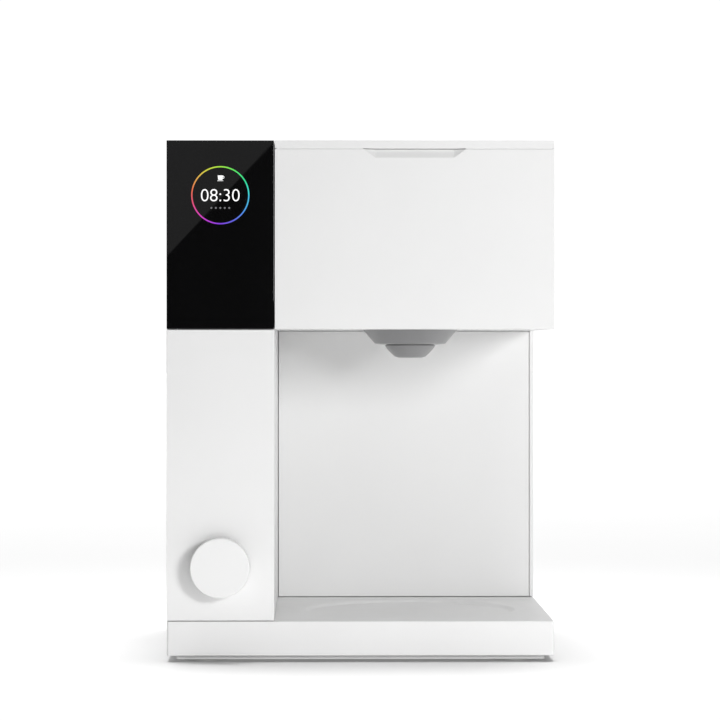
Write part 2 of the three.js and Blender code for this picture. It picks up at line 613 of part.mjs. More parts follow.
/** The removable basket: a tapered cup with a flat rim and a drain hole. */
function brewBasket() {
  const floorTop = BASKET_FLOOR + BASKET_WALL + 0.4;
  const rimBottom = RIM_TOP - WALL;
  return turned([[6, BASKET_FLOOR], [BASKET_FLOOR_R, BASKET_FLOOR], [BASKET_TOP_R, rimBottom],
    [BASKET_RIM_R, rimBottom], [BASKET_RIM_R, RIM_TOP], [BASKET_TOP_R - BASKET_WALL, RIM_TOP],
    [BASKET_FLOOR_R - BASKET_WALL, floorTop], [6, floorTop], [6, BASKET_FLOOR]]);
}

/** The flat ring handle on the basket's rim, with a finger tab at the front and the rear. */
function basketHandle() {
  const zs = [RIM_TOP + FIT, RIM_TOP + FIT + 2];
  const tabs = roundedBox([-12, 12], [-BASKET_RIM_R - 9, BASKET_RIM_R + 9], zs, 4);
  const inside = post(BASKET_TOP_R + 0.5, [0, HEIGHT], [0, 0], 32);
  return cut(join(post(BASKET_RIM_R, zs, [0, 0], 32), tabs), inside);
}

/** The fine mesh filter, as a thin cup with a turned-out rim. */
function meshFilter() {
  const topR = BASKET_TOP_R - BASKET_WALL - 1.2;
  const floorR = BASKET_FLOOR_R - BASKET_WALL - 1.5;
  const floor = BASKET_FLOOR + 6;
  const rimZ = RIM_TOP - 1;
  return turned([[0, floor], [floorR, floor], [topR, rimZ], [topR - FILTER_WALL, rimZ],
    [floorR - FILTER_WALL, floor + FILTER_WALL], [0, floor + FILTER_WALL]]);
}

/** The grey spout cone under the head, recessed below for the drip-stop nozzle. */
function outletCone() {
  const shoulder = HEAD_BOTTOM + WALL + FIT;
  const recess = SPOUT_BOTTOM + NOZZLE_TRAVEL + 2.8;
  const bore = STEM_R + FIT;
  return turned([[bore, recess], [NOZZLE_R + 0.7, recess], [NOZZLE_R + 0.7, SPOUT_BOTTOM],
    [SPOUT_LIP_R, SPOUT_BOTTOM + 0.6], [SPOUT_NECK_R, HEAD_BOTTOM], [SPOUT_NECK_R, shoulder],
    [SPOUT_NECK_R + 5, shoulder], [SPOUT_NECK_R + 5, SPOUT_TOP], [bore, SPOUT_TOP], [bore, recess]]);
}

const NOZZLE_RIM = SPOUT_BOTTOM + 1;
/** The drip-stop nozzle: a bowl below the cone and a hollow stem up to the well. */
function dripNozzle() {
  const tip = SPOUT_BOTTOM - NOZZLE_DROP;
  const bore = STEM_R - 2;
  const stemTop = BASKET_FLOOR - NOZZLE_TRAVEL - 2 * FIT;
  return turned([[bore, tip], [NOZZLE_TIP_R, tip], [NOZZLE_TIP_R + 2.5, tip + 0.8],
    [NOZZLE_R - 3.8, tip + 2.8], [NOZZLE_R - 1.4, tip + 5.4], [NOZZLE_R, tip + NOZZLE_DROP],
    [NOZZLE_R, NOZZLE_RIM], [STEM_R, NOZZLE_RIM + 1.2], [STEM_R, stemTop], [bore, stemTop], [bore, tip]]);
}

const washerZs = [SPOUT_TOP + FIT, SPOUT_TOP + FIT + 2];
/** The return spring round the stem, between the washer and the well. */
function dripSpring() {
  const bottom = washerZs[1] + FIT + 0.5;
  const rise = WELL_FLOOR - FIT - 0.5 - bottom;
  const turns = 4;
  const coilR = STEM_R + 1.6;
  const points = Array.from({ length: turns * 8 + 1 }, (_, i) => {
    const angle = (i * Math.PI) / 4;
    return [coilR * Math.cos(angle), coilR * Math.sin(angle), bottom + (rise * i) / (turns * 8)];
  });
  return hose(points, 0.5, turns * 8, 6);
}

const brewParts = group([
  piece('brew_well', brewWell(), DARK_PLASTIC),
  piece('brew_basket', brewBasket(), DARK_PLASTIC),
  piece('basket_handle', basketHandle(), STEEL),
  piece('mesh_filter', meshFilter(), STEEL),
  piece('outlet_cone', outletCone(), SPOUT_GREY),
  piece('drip_nozzle', dripNozzle(), SPOUT_GREY),
  piece('drip_washer', ring(STEM_R + FIT, STEM_R + 4, washerZs), GREY_SILICONE),
  piece('drip_spring', dripSpring(), STEEL),
], [BREW_X, BREW_Y, 0]);

// ---------------------------------------------------------------- water tank
const TANK_XS = [LEFT, TANK_RIGHT];
const TANK_YS = [TANK_FRONT, REAR];
const TANK_FLOOR = PANEL_FLOOR + TANK_FLOOR_LIFT;
const COLLAR_BOTTOM = PANEL_TOP - COLLAR_HEIGHT;
const TANK_R = 3;

/** Both ranges of a box, moved in from the tank's outside by a wall. */
function tankInside(wall) {
  return [[LEFT + wall, TANK_RIGHT - wall], [TANK_FRONT + wall, REAR - wall]];
}

/** The clear tank: open at the top, with a skirt below its floor and a grip pocket behind. */
function waterTank() {
  const shell = roundedBox(TANK_XS, TANK_YS, [PANEL_FLOOR, COLLAR_BOTTOM - FIT], TANK_R);
  const [xs, ys] = tankInside(TANK_WALL);
  const room = roundedBox(xs, ys, [TANK_FLOOR + TANK_WALL, HEIGHT], TANK_R - 1);
  const skirt = roundedBox(xs, ys, [0, TANK_FLOOR], TANK_R - 1);
  const gripZs = [COLLAR_BOTTOM - 34, COLLAR_BOTTOM - 18];
  const gripHalf = 20;
  const gripYs = [REAR - 7, REAR + 1];
  const grip = box([TANK_X - gripHalf, TANK_X + gripHalf], gripYs, gripZs);
  const outerHalf = gripHalf + TANK_WALL;
  const outerZs = [gripZs[0] - TANK_WALL, gripZs[1] + TANK_WALL];
  const gripWall = box([TANK_X - outerHalf, TANK_X + outerHalf], [gripYs[0] - TANK_WALL, REAR - 1], outerZs);
  const valveHole = post(VALVE_R - 2, [0, HEIGHT], DOCK);
  return cut(join(cut(shell, room, skirt), gripWall), grip, valveHole);
}

/** The white collar on the tank's rim, with the tank lid's hinge lugs. */
function tankCollar() {
  const band = roundedBox(TANK_XS, TANK_YS, [COLLAR_BOTTOM, PANEL_TOP], TANK_R);
  const lip = roundedBox(...tankInside(TANK_WALL + FIT), [COLLAR_BOTTOM - 5, COLLAR_BOTTOM + 1], TANK_R - 1);
  const mouth = roundedBox(...tankInside(TANK_WALL + FIT + 1.6), [0, HEIGHT], 1);
  const lugYs = [TANK_HINGE_Y - KNUCKLE_R, REAR];
  const lugs = hingeLugs(TANK_XS, lugYs, [PANEL_TOP - 1, HINGE_Z], TANK_HINGE_Y);
  const bore = rod(PIN_R + FIT, [LEFT + 1, TANK_RIGHT - 1], [TANK_HINGE_Y, HINGE_Z], 12);
  return cut(join(cut(join(band, lip), mouth), ...lugs), bore);
}

/** The valve stub in the tank's floor, open below for the dock's pin. */
function tankValve() {
  const neck = VALVE_R - 2 - FIT;
  const bottom = TANK_FLOOR - 6.5;
  return turned([[3.5, bottom], [VALVE_R, bottom], [VALVE_R, TANK_FLOOR - FIT], [neck, TANK_FLOOR - FIT],
    [neck, TANK_FLOOR + TANK_WALL + FIT], [VALVE_R + 1.5, TANK_FLOOR + TANK_WALL + FIT],
    [VALVE_R + 1.5, TANK_FLOOR + TANK_WALL + 2], [0, TANK_FLOOR + TANK_WALL + 2],
    [0, TANK_FLOOR - 1], [3.5, TANK_FLOOR - 1], [3.5, bottom]], DOCK, 20);
}

/** The dock under the tank: a plate, a socket for the valve, a pin and a hose spigot. */
function tankDock() {
  const plateTop = PANEL_FLOOR + 2.4;
  const socketR = VALVE_R + 2.5;
  const socketTop = TANK_FLOOR - 1.5;
  const plate = box([TANK_X - 24, TANK_X + 24], [DOCK_Y - 28, DOCK_Y + 25], [BASE_TOP + FIT, plateTop]);
  const body = post(socketR + WALL, [BASE_TOP + FIT, socketTop], DOCK, 20);
  const spigot = post(HOSE_R, [BASE_TOP - DECK_THICKNESS - 1, plateTop], DOCK);
  const socket = post(socketR, [plateTop, HEIGHT], DOCK, 20);
  const pin = post(2, [plateTop - 1, TANK_FLOOR - 2], DOCK, 12);
  const channel = ring(2.2, HOSE_R - 1, [0, plateTop + 0.1], DOCK, 12);
  const bridge = box([TANK_X - HOSE_R, TANK_X + HOSE_R], [DOCK_Y - 0.7, DOCK_Y + 0.7], [BASE_TOP, plateTop]);
  const core = post(2.4, [BASE_TOP, plateTop], DOCK, 12);
  return join(cut(join(plate, body, spigot), socket, channel), pin, bridge, core);
}

const dockSealZs = [PANEL_FLOOR + 2.4 + FIT + 0.6, PANEL_FLOOR + 2.4 + FIT + 3];
const tankHingeXs = [LEFT + 1.5, TANK_RIGHT - 1.5];
const tank = group([
  piece('water_tank', waterTank(), SMOKED_CLEAR),
  piece('tank_collar', tankCollar(), SHELL_WHITE),
  piece('tank_lid', lidPlate(TANK_XS, TANK_FRONT, TANK_HINGE_Y), SHELL_WHITE),
  piece('tank_lid_pin', rod(PIN_R, tankHingeXs, [TANK_HINGE_Y, HINGE_Z], 12), STEEL),
  piece('tank_valve', tankValve(), DARK_PLASTIC),
  piece('tank_dock', tankDock(), DARK_PLASTIC),
  piece('dock_seal', ring(VALVE_R + FIT, VALVE_R + 2.5 - FIT, dockSealZs, DOCK), GREY_SILICONE),
]);

// ---------------------------------------------------------------- water path and power
const HEATER_SPIGOTS = [HEATER_X - 15, HEATER_X + 15];
const HEATER_SPIGOT_TOP = PUMP_TOP + SPIGOT_LENGTH;
const PUMP_SPIGOT_TOP = PUMP_TOP + SPIGOT_LENGTH;

/** The pump: an upright motor can with a spigot at each end. */
function pump() {
  const [low, high] = [PUMP_BOTTOM, PUMP_TOP];
  return turned([[0, low - SPIGOT_LENGTH], [HOSE_R, low - SPIGOT_LENGTH], [HOSE_R, low], [PUMP_R - 2, low],
    [PUMP_R, low + 2], [PUMP_R, high - 2], [PUMP_R - 2, high], [HOSE_R, high],
    [HOSE_R, PUMP_SPIGOT_TOP], [0, PUMP_SPIGOT_TOP]], METER, 20);
}

/** The clamp that holds the pump to the back panel. */
function pumpClamp() {
  const middle = (PUMP_BOTTOM + PUMP_TOP) / 2;
  const zs = [middle - 7, middle + 7];
  const band = post(PUMP_R + FIT + WALL, zs, METER, 24);
  const foot = box([PUMP_X - 24, PUMP_X + 24], [BACK_Y + WALL + FIT, BACK_Y + 2 * WALL + FIT], zs);
  return cut(join(band, foot), post(PUMP_R + FIT, [0, HEIGHT], METER, 24));
}

/** The flow meter under the pump, with its inlet spigot below. */
function flowMeter() {
  const top = METER_BOTTOM + METER_HEIGHT;
  return turned([[0, METER_INLET], [HOSE_R, METER_INLET], [HOSE_R, METER_BOTTOM], [METER_R, METER_BOTTOM],
    [METER_R, top], [0, top]], METER, 20);
}

/** The cast heater block, with an inlet and an outlet spigot on top. */
function heater() {
  const xs = [HEATER_X - HEATER_WIDTH / 2, HEATER_X + HEATER_WIDTH / 2];
  const ys = [REAR_MID_Y - HEATER_DEPTH / 2, REAR_MID_Y + HEATER_DEPTH / 2];
  const block = roundedBox(xs, ys, [HEATER_BOTTOM, PUMP_TOP], 6);
  const spigots = HEATER_SPIGOTS.map((x) => post(HOSE_R, [PUMP_TOP - 1, HEATER_SPIGOT_TOP], [x, REAR_MID_Y]));
  return join(block, ...spigots);
}

/** The power inlet: a socket open to the rear, with three blades on its floor. */
function powerInlet() {
  const xs = [INLET_X - INLET_WIDTH / 2, INLET_X + INLET_WIDTH / 2];
  const zs = [INLET_Z - INLET_HEIGHT / 2, INLET_Z + INLET_HEIGHT / 2];
  const body = box(xs, [REAR - 22, REAR], zs);
  const socket = box([xs[0] + 2, xs[1] - 2], [REAR - 18, REAR + 1], [zs[0] + 2, zs[1] - 2]);
  const blades = [[-7, -1.5], [0, 2.5], [7, -1.5]].map(([dx, dz]) => {
    const bladeXs = [INLET_X + dx - 1, INLET_X + dx + 1];
    return box(bladeXs, [REAR - 19, REAR - 9], [INLET_Z + dz - 2, INLET_Z + dz + 2]);
  });
  return join(cut(body, socket), ...blades);
}

const dockSpigotEnd = BASE_TOP - DECK_THICKNESS - 1 - FIT;
const hollowMid = (PLATE_TOP + BASE_TOP - DECK_THICKNESS) / 2;
const dropX = (TANK_X + PUMP_X) / 2;
const dropY = (DOCK_Y + REAR_MID_Y) / 2;
const tankHosePath = [
  [TANK_X, DOCK_Y, dockSpigotEnd], [TANK_X, DOCK_Y, dockSpigotEnd - 2.5],
  [TANK_X + 6, DOCK_Y + 1, hollowMid - 1.5], [TANK_X + 18, DOCK_Y + 3, hollowMid - 2.5],
  [dropX, dropY, hollowMid - 2.5], [PUMP_X - 14, REAR_MID_Y - 1, hollowMid - 2],
  [PUMP_X - 3, REAR_MID_Y, hollowMid + 3], [PUMP_X, REAR_MID_Y, BASE_TOP - 2],
  [PUMP_X, REAR_MID_Y, METER_INLET - FIT],
];
const [heaterInX, heaterOutX] = HEATER_SPIGOTS;
const loopX = (PUMP_X + heaterInX) / 2;
const heaterHosePath = [
  [PUMP_X, REAR_MID_Y, PUMP_SPIGOT_TOP + FIT], [PUMP_X, REAR_MID_Y, PUMP_SPIGOT_TOP + 10],
  [PUMP_X + 8, REAR_MID_Y, PUMP_SPIGOT_TOP + 24], [loopX, REAR_MID_Y, PUMP_SPIGOT_TOP + 29],
  [heaterInX - 8, REAR_MID_Y, PUMP_SPIGOT_TOP + 24], [heaterInX, REAR_MID_Y, HEATER_SPIGOT_TOP + 10],
  [heaterInX, REAR_MID_Y, HEATER_SPIGOT_TOP + FIT],
];
const bendX = (heaterOutX + BREW_X) / 2;
const bendY = (REAR_MID_Y + PORT_Y) / 2 + 4;
const portHosePath = [
  [heaterOutX, REAR_MID_Y, HEATER_SPIGOT_TOP + FIT], [heaterOutX, REAR_MID_Y, HEATER_SPIGOT_TOP + 30],
  [heaterOutX, REAR_MID_Y, PORT_BOTTOM - 60], [bendX, bendY, PORT_BOTTOM - 30],
  [BREW_X, PORT_Y, PORT_BOTTOM - 12], [BREW_X, PORT_Y, PORT_BOTTOM - FIT],
];
const heaterFaceY = REAR_MID_Y + HEATER_DEPTH / 2 + FIT;
const powerBoardXs = [HEATER_X + HEATER_WIDTH / 2 + 6, INNER_RIGHT - 3];
const powerBoardYs = [BACK_Y + WALL + 6, BACK_Y + WALL + 7.6];
const waterPath = group([
  piece('flow_meter', flowMeter(), DARK_PLASTIC),
  piece('pump', pump(), STEEL),
  piece('pump_clamp', pumpClamp(), DARK_PLASTIC),
  piece('heater', heater(), CAST_ALUMINIUM),
  piece('thermal_cutout', turnedAlongY([[0, heaterFaceY], [8, heaterFaceY], [8, heaterFaceY + 4],
    [0, heaterFaceY + 4]], [HEATER_X, PUMP_TOP - 25]), STEEL),
  piece('hose_tank_to_meter', hose(tankHosePath, HOSE_R), GREY_SILICONE),
  piece('hose_pump_to_heater', hose(heaterHosePath, HOSE_R), GREY_SILICONE),
  piece('hose_heater_to_port', hose(portHosePath, HOSE_R), GREY_SILICONE),
  piece('power_board', box(powerBoardXs, powerBoardYs, [INLET_Z + 24, PUMP_TOP]), BOARD_GREEN),
  piece('power_inlet', powerInlet(), DARK_PLASTIC),
]);

const brewer = group([base, tower, knobGroup, head, lid, brewParts, tank, waterPath]);
export default brewer;
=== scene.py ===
"""One-cup brewer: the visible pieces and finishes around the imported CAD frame.

Every place and size comes from the frame's own boxes, in metres, with +Z up and the front at -Y.
Each sub-assembly is a class that builds its meshes with bmesh operators and dresses them.
"""

from __future__ import annotations

import logging
import math
from dataclasses import dataclass, field
from enum import Enum
from functools import lru_cache
from typing import Iterable, Protocol, Sequence

import bmesh
import bpy
from mathutils import Matrix, Vector

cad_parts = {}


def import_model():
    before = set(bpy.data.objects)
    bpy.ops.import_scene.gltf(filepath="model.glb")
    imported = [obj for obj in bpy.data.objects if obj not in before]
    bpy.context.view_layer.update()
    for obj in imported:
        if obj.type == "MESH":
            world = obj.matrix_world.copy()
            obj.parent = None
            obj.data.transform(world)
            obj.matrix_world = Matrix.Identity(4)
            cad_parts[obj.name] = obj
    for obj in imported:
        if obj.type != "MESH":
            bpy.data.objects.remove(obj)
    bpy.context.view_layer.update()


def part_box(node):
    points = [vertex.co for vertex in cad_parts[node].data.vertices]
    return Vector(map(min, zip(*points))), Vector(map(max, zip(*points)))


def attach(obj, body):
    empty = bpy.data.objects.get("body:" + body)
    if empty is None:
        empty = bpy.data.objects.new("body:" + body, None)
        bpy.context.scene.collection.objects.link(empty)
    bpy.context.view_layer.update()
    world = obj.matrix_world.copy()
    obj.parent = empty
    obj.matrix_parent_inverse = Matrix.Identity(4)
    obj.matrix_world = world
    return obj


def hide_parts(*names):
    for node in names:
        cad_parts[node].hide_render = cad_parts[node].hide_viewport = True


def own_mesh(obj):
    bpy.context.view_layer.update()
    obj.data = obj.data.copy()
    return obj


LOG = logging.getLogger("brewer")
MM = 0.001
Colour = tuple[float, float, float]
Point = tuple[float, float, float]


class Axis(Enum):
    """The direction that a turned or extruded shape runs along."""

    X = (1.0, 0.0, 0.0)
    Y = (0.0, 1.0, 0.0)
    Z = (0.0, 0.0, 1.0)


def linear(red: int, green: int, blue: int) -> Colour:
    """Turns a colour in 0 to 255 display values into the linear values that shaders take.

    Args:
        red: Red display value.
        green: Green display value.
        blue: Blue display value.

    Returns:
        The linear colour.
    """
    parts = [value / 255 for value in (red, green, blue)]
    curve = [part / 12.92 if part <= 0.04045 else ((part + 0.055) / 1.055) ** 2.4 for part in parts]
    return (curve[0], curve[1], curve[2])


# ---------------------------------------------------------------- finishes
class NodeGraph:
    """A new material's node tree, with short calls for adding and joining nodes."""

    def __init__(self, name: str) -> None:
        """Starts an empty tree with a Principled shader and its output.

        Args:
            name: The material's name.
        """
        self.material = bpy.data.materials.new(name)
        self.material.use_nodes = True
        self.tree = self.material.node_tree
        self.tree.nodes.clear()
        self.output = self.add("ShaderNodeOutputMaterial")
        self.shader = self.add("ShaderNodeBsdfPrincipled")
        self.join(self.shader.outputs["BSDF"], self.output.inputs["Surface"])

    def add(self, kind: str, **settings: object) -> bpy.types.Node:
        """Adds a node and sets its properties.

        Args:
            kind: The node's type name.
            **settings: Property names and values.

        Returns:
            The new node.
        """
        node = self.tree.nodes.new(kind)
        for name, value in settings.items():
            setattr(node, name, value)
        return node

    def join(self, start: bpy.types.NodeSocket, end: bpy.types.NodeSocket) -> None:
        """Links an output to an input."""
        self.tree.links.new(start, end)

    def set(self, **values: object) -> None:
        """Sets the Principled shader's own sockets, with underscores for spaces."""
        for name, value in values.items():
            self.shader.inputs[name.replace("_", " ")].default_value = value

    def place(self, centre: Point = (0, 0, 0), scale: Point = (1, 1, 1)) -> bpy.types.NodeSocket:
        """Gives object coordinates, measured from a centre and stretched.

        Args:
            centre: The point that becomes the pattern's origin.
            scale: How much each axis is stretched.

        Returns:
            The vector socket.
        """
        coordinates = self.add("ShaderNodeTexCoord")
        shift = self.add("ShaderNodeVectorMath", operation="SUBTRACT")
        shift.inputs[1].default_value = centre
        self.join(coordinates.outputs["Object"], shift.inputs[0])
        stretch = self.add("ShaderNodeVectorMath", operation="MULTIPLY")
        stretch.inputs[1].default_value = scale
        self.join(shift.outputs[0], stretch.inputs[0])
        return stretch.outputs[0]

    def noise(self, vector: bpy.types.NodeSocket, size: float, detail: float = 2.0) -> bpy.types.NodeSocket:
        """Adds cloud noise whose blotches are about one size across.

        Args:
            vector: The coordinates it reads.
            size: Blotch size in metres.
            detail: Octaves of finer noise.

        Returns:
            The noise value, 0 to 1.
        """
        node = self.add("ShaderNodeTexNoise")
        node.inputs["Scale"].default_value = 1 / size
        node.inputs["Detail"].default_value = detail
        self.join(vector, node.inputs["Vector"])
        return node.outputs["Fac"]

    def spread(self, value: bpy.types.NodeSocket, low: float, high: float) -> bpy.types.NodeSocket:
        """Maps a noise value to a range.

        Args:
            value: A value that lies mostly between 0.3 and 0.7.
            low: The result at 0.3.
            high: The result at 0.7.

        Returns:
            The mapped value.
        """
        node = self.add("ShaderNodeMapRange")
        node.inputs["From Min"].default_value = 0.3
        node.inputs["From Max"].default_value = 0.7
        node.inputs["To Min"].default_value = low
        node.inputs["To Max"].default_value = high
        self.join(value, node.inputs["Value"])
        return node.outputs["Result"]

    def tint(self, value: bpy.types.NodeSocket, dark: Colour, light: Colour) -> None:
        """Colours the shader between two colours by a noise value."""
        ramp = self.add("ShaderNodeValToRGB")
        ramp.color_ramp.elements[0].position = 0.35
        ramp.color_ramp.elements[1].position = 0.65
        ramp.color_ramp.elements[0].color = (*dark, 1.0)
        ramp.color_ramp.elements[1].color = (*light, 1.0)
        self.join(value, ramp.inputs["Fac"])
        self.join(ramp.outputs["Color"], self.shader.inputs["Base Color"])

    def relief(self, value: bpy.types.NodeSocket, depth: float, strength: float = 0.5) -> None:
        """Raises the surface by a height value.

        Args:
            value: The height pattern, 0 to 1.
            depth: The pattern's full height in metres.
            strength: How strongly it shows.
        """
        bump = self.add("ShaderNodeBump")
        bump.inputs["Distance"].default_value = depth
        bump.inputs["Strength"].default_value = strength
        self.join(value, bump.inputs["Height"])
        self.join(bump.outputs["Normal"], self.shader.inputs["Normal"])


class Finish(Protocol):
    """What every finish gives: its record slot and its material."""

    slot: str

    def material(self) -> bpy.types.Material:
        """Builds the material."""


@lru_cache(maxsize=None)
def material_of(finish: Finish) -> bpy.types.Material:
    """Builds each finish's material once and gives the same one after that."""
    return finish.material()


def shaded(colour: Colour, factor: float) -> Colour:
    """A colour made darker or lighter by a factor."""
    return (colour[0] * factor, colour[1] * factor, colour[2] * factor)


@dataclass(frozen=True)
class Moulding:
    """A moulded plastic or rubber with a fine spark-eroded grain and slight unevenness."""

    name: str
    slot: str
    colour: Colour
    roughness: float = 0.42
    grain: float = 0.7 * MM
    depth: float = 0.02 * MM
    mottle: float = 0.015
    specular: float = 0.5
    scatter: float = 0.0

    def material(self) -> bpy.types.Material:
        """Builds the moulding's material."""
        graph = NodeGraph(self.name)
        graph.set(Specular_IOR_Level=self.specular, Subsurface_Weight=self.scatter, Subsurface_Scale=MM)
        place = graph.place()
        cloud = graph.noise(place, 60 * MM)
        graph.tint(cloud, shaded(self.colour, 1 - self.mottle), self.colour)
        patches = graph.noise(place, 9 * MM)
        rough = graph.spread(patches, self.roughness - 0.04, self.roughness + 0.04)
        graph.join(rough, graph.shader.inputs["Roughness"])
        graph.relief(graph.noise(place, self.grain, detail=3), self.depth, 0.35)
        return graph.material


@dataclass(frozen=True)
class PolishedGlass:
    """Black polished glass with the faintest smears in its gloss."""

    name: str = "polished_black_glass"
    slot: str = "display_glass"
    colour: Colour = (0.0012, 0.0012, 0.0014)

    def material(self) -> bpy.types.Material:
        """Builds the glass's material."""
        graph = NodeGraph(self.name)
        graph.set(Specular_IOR_Level=0.5)
        place = graph.place(scale=(1, 1, 0.4))
        graph.tint(graph.noise(place, 40 * MM), self.colour, shaded(self.colour, 1.4))
        smears = graph.spread(graph.noise(place, 14 * MM, detail=4), 0.006, 0.02)
        graph.join(smears, graph.shader.inputs["Roughness"])
        return graph.material


@dataclass(frozen=True)
class SpectrumLight:
    """A lit ring whose colour runs round the spectrum by angle about its centre."""

    centre: Point
    name: str = "spectrum_light"
    slot: str = "display_glass"
    strength: float = 1.0

    def material(self) -> bpy.types.Material:
        """Builds the ring's material."""
        stops = (
            (0, linear(56, 214, 220)), (30, linear(36, 224, 150)), (60, linear(84, 232, 96)),
            (90, linear(164, 232, 56)), (120, linear(214, 212, 60)), (145, linear(228, 166, 72)),
            (170, linear(232, 104, 70)), (195, linear(232, 76, 118)), (220, linear(226, 58, 180)),
            (245, linear(184, 48, 214)), (270, linear(124, 52, 226)), (295, linear(96, 92, 226)),
            (320, linear(72, 130, 230)), (345, linear(64, 184, 226)),
        )
        graph = NodeGraph(self.name)
        parts = graph.add("ShaderNodeSeparateXYZ")
        graph.join(graph.place(self.centre), parts.inputs[0])
        angle = graph.add("ShaderNodeMath", operation="ARCTAN2")
        graph.join(parts.outputs["Z"], angle.inputs[0])
        graph.join(parts.outputs["X"], angle.inputs[1])
        turn = graph.add("ShaderNodeMath", operation="DIVIDE")
        turn.inputs[1].default_value = math.tau
        graph.join(angle.outputs[0], turn.inputs[0])
        wrap = graph.add("ShaderNodeMath", operation="FRACT")
        graph.join(turn.outputs[0], wrap.inputs[0])
        ramp = graph.add("ShaderNodeValToRGB")
        elements = ramp.color_ramp.elements
        while len(elements) < len(stops):
            elements.new(0.5)
        for element, (degrees, colour) in zip(elements, stops):
            element.position = degrees / 360
            element.color = (*colour, 1.0)
        graph.join(wrap.outputs[0], ramp.inputs["Fac"])
        graph.join(ramp.outputs["Color"], graph.shader.inputs["Emission Color"])
        graph.set(Base_Color=(0.01, 0.01, 0.01, 1), Roughness=0.3, Emission_Strength=self.strength)
        return graph.material


@dataclass(frozen=True)
class LitMark:
    """A lit mark on the display, very slightly uneven in brightness."""

    name: str
    colour: Colour
    strength: float
    slot: str = "display_glass"

    def material(self) -> bpy.types.Material:
        """Builds the mark's material."""
        graph = NodeGraph(self.name)
        ramp = graph.add("ShaderNodeValToRGB")
        ramp.color_ramp.elements[0].color = (*shaded(self.colour, 0.94), 1)
        ramp.color_ramp.elements[1].color = (*self.colour, 1)
        graph.join(graph.noise(graph.place(), 2 * MM), ramp.inputs["Fac"])
        graph.join(ramp.outputs["Color"], graph.shader.inputs["Emission Color"])
        graph.set(Base_Color=(0.01, 0.01, 0.01, 1), Roughness=0.3, Emission_Strength=self.strength)
        return graph.material


@dataclass(frozen=True)
class BrushedMetal:
    """Metal with fine brush lines along one axis."""

    name: str
    slot: str
    colour: Colour
    roughness: float = 0.28
    along: Axis = Axis.Z
    line: float = 0.25 * MM
    depth: float = 0.01 * MM

    def material(self) -> bpy.types.Material:
        """Builds the metal's material."""
        graph = NodeGraph(self.name)
        stretch = tuple(0.04 if part else 1.0 for part in self.along.value)
        place = graph.place(scale=stretch)
        lines = graph.noise(place, self.line, detail=4)
        graph.set(Metallic=1.0)
        graph.tint(graph.noise(graph.place(), 25 * MM), shaded(self.colour, 0.92), self.colour)
        rough = graph.spread(lines, self.roughness - 0.08, self.roughness + 0.1)
        graph.join(rough, graph.shader.inputs["Roughness"])
        graph.relief(lines, self.depth, 0.3)
        return graph.material


@dataclass(frozen=True)
class ClearMoulding:
    """Lightly smoked clear plastic, with soft flow lines in its surface."""

    name: str = "smoked_clear_plastic"
    slot: str = "tank_clear"
    colour: Colour = (0.93, 0.95, 0.96)

    def material(self) -> bpy.types.Material:
        """Builds the clear plastic's material."""
        graph = NodeGraph(self.name)
        graph.set(Transmission_Weight=0.92, IOR=1.46, Specular_IOR_Level=0.5)
        place = graph.place(scale=(1, 1, 0.5))
        graph.tint(graph.noise(place, 70 * MM), shaded(self.colour, 0.96), self.colour)
        rough = graph.spread(graph.noise(place, 16 * MM), 0.10, 0.16)
        graph.join(rough, graph.shader.inputs["Roughness"])
        graph.relief(graph.noise(place, 30 * MM), 0.15 * MM, 0.2)
        return graph.material


@dataclass(frozen=True)
class WovenScreen:
    """Fine woven steel mesh, as crossing wires in relief over dark gaps."""

    centre: Point
    name: str = "woven_steel_screen"
    slot: str = "steel"
    pitch: float = 0.9 * MM

    def material(self) -> bpy.types.Material:
        """Builds the screen's material."""
        graph = NodeGraph(self.name)
        place = graph.place(self.centre)
        waves = []
        for direction in ("X", "Y", "Z"):
            wave = graph.add("ShaderNodeTexWave", bands_direction=direction)
            wave.inputs["Scale"].default_value = 0.314 / self.pitch
            graph.join(place, wave.inputs["Vector"])
            waves.append(wave.outputs["Fac"])
        cross = waves[0]
        for other in waves[1:]:
            larger = graph.add("ShaderNodeMath", operation="MAXIMUM")
            graph.join(cross, larger.inputs[0])
            graph.join(other, larger.inputs[1])
            cross = larger.outputs[0]
        graph.set(Metallic=1.0, Roughness=0.35)
        graph.tint(cross, (0.04, 0.04, 0.04), (0.62, 0.62, 0.60))
        graph.relief(cross, 0.12 * MM, 0.6)
        return graph.material


@dataclass(frozen=True)
class CircuitBoard:
    """Green solder mask over printed tracks."""

    name: str = "green_circuit_board"
    slot: str = "circuit_board"

    def material(self) -> bpy.types.Material:
        """Builds the board's material."""
        graph = NodeGraph(self.name)
        place = graph.place(scale=(1, 1, 1))
        cells = graph.add("ShaderNodeTexVoronoi", feature="DISTANCE_TO_EDGE", distance="EUCLIDEAN")
        cells.inputs["Scale"].default_value = 1 / (6 * MM)
        graph.join(place, cells.inputs["Vector"])
        tracks = graph.add("ShaderNodeMath", operation="GREATER_THAN")
        tracks.inputs[1].default_value = 0.05
        graph.join(cells.outputs["Distance"], tracks.inputs[0])
        graph.tint(tracks.outputs[0], (0.05, 0.24, 0.12), (0.012, 0.11, 0.05))
        graph.relief(tracks.outputs[0], 0.05 * MM, 0.5)
        graph.set(Roughness=0.32)
        return graph.material


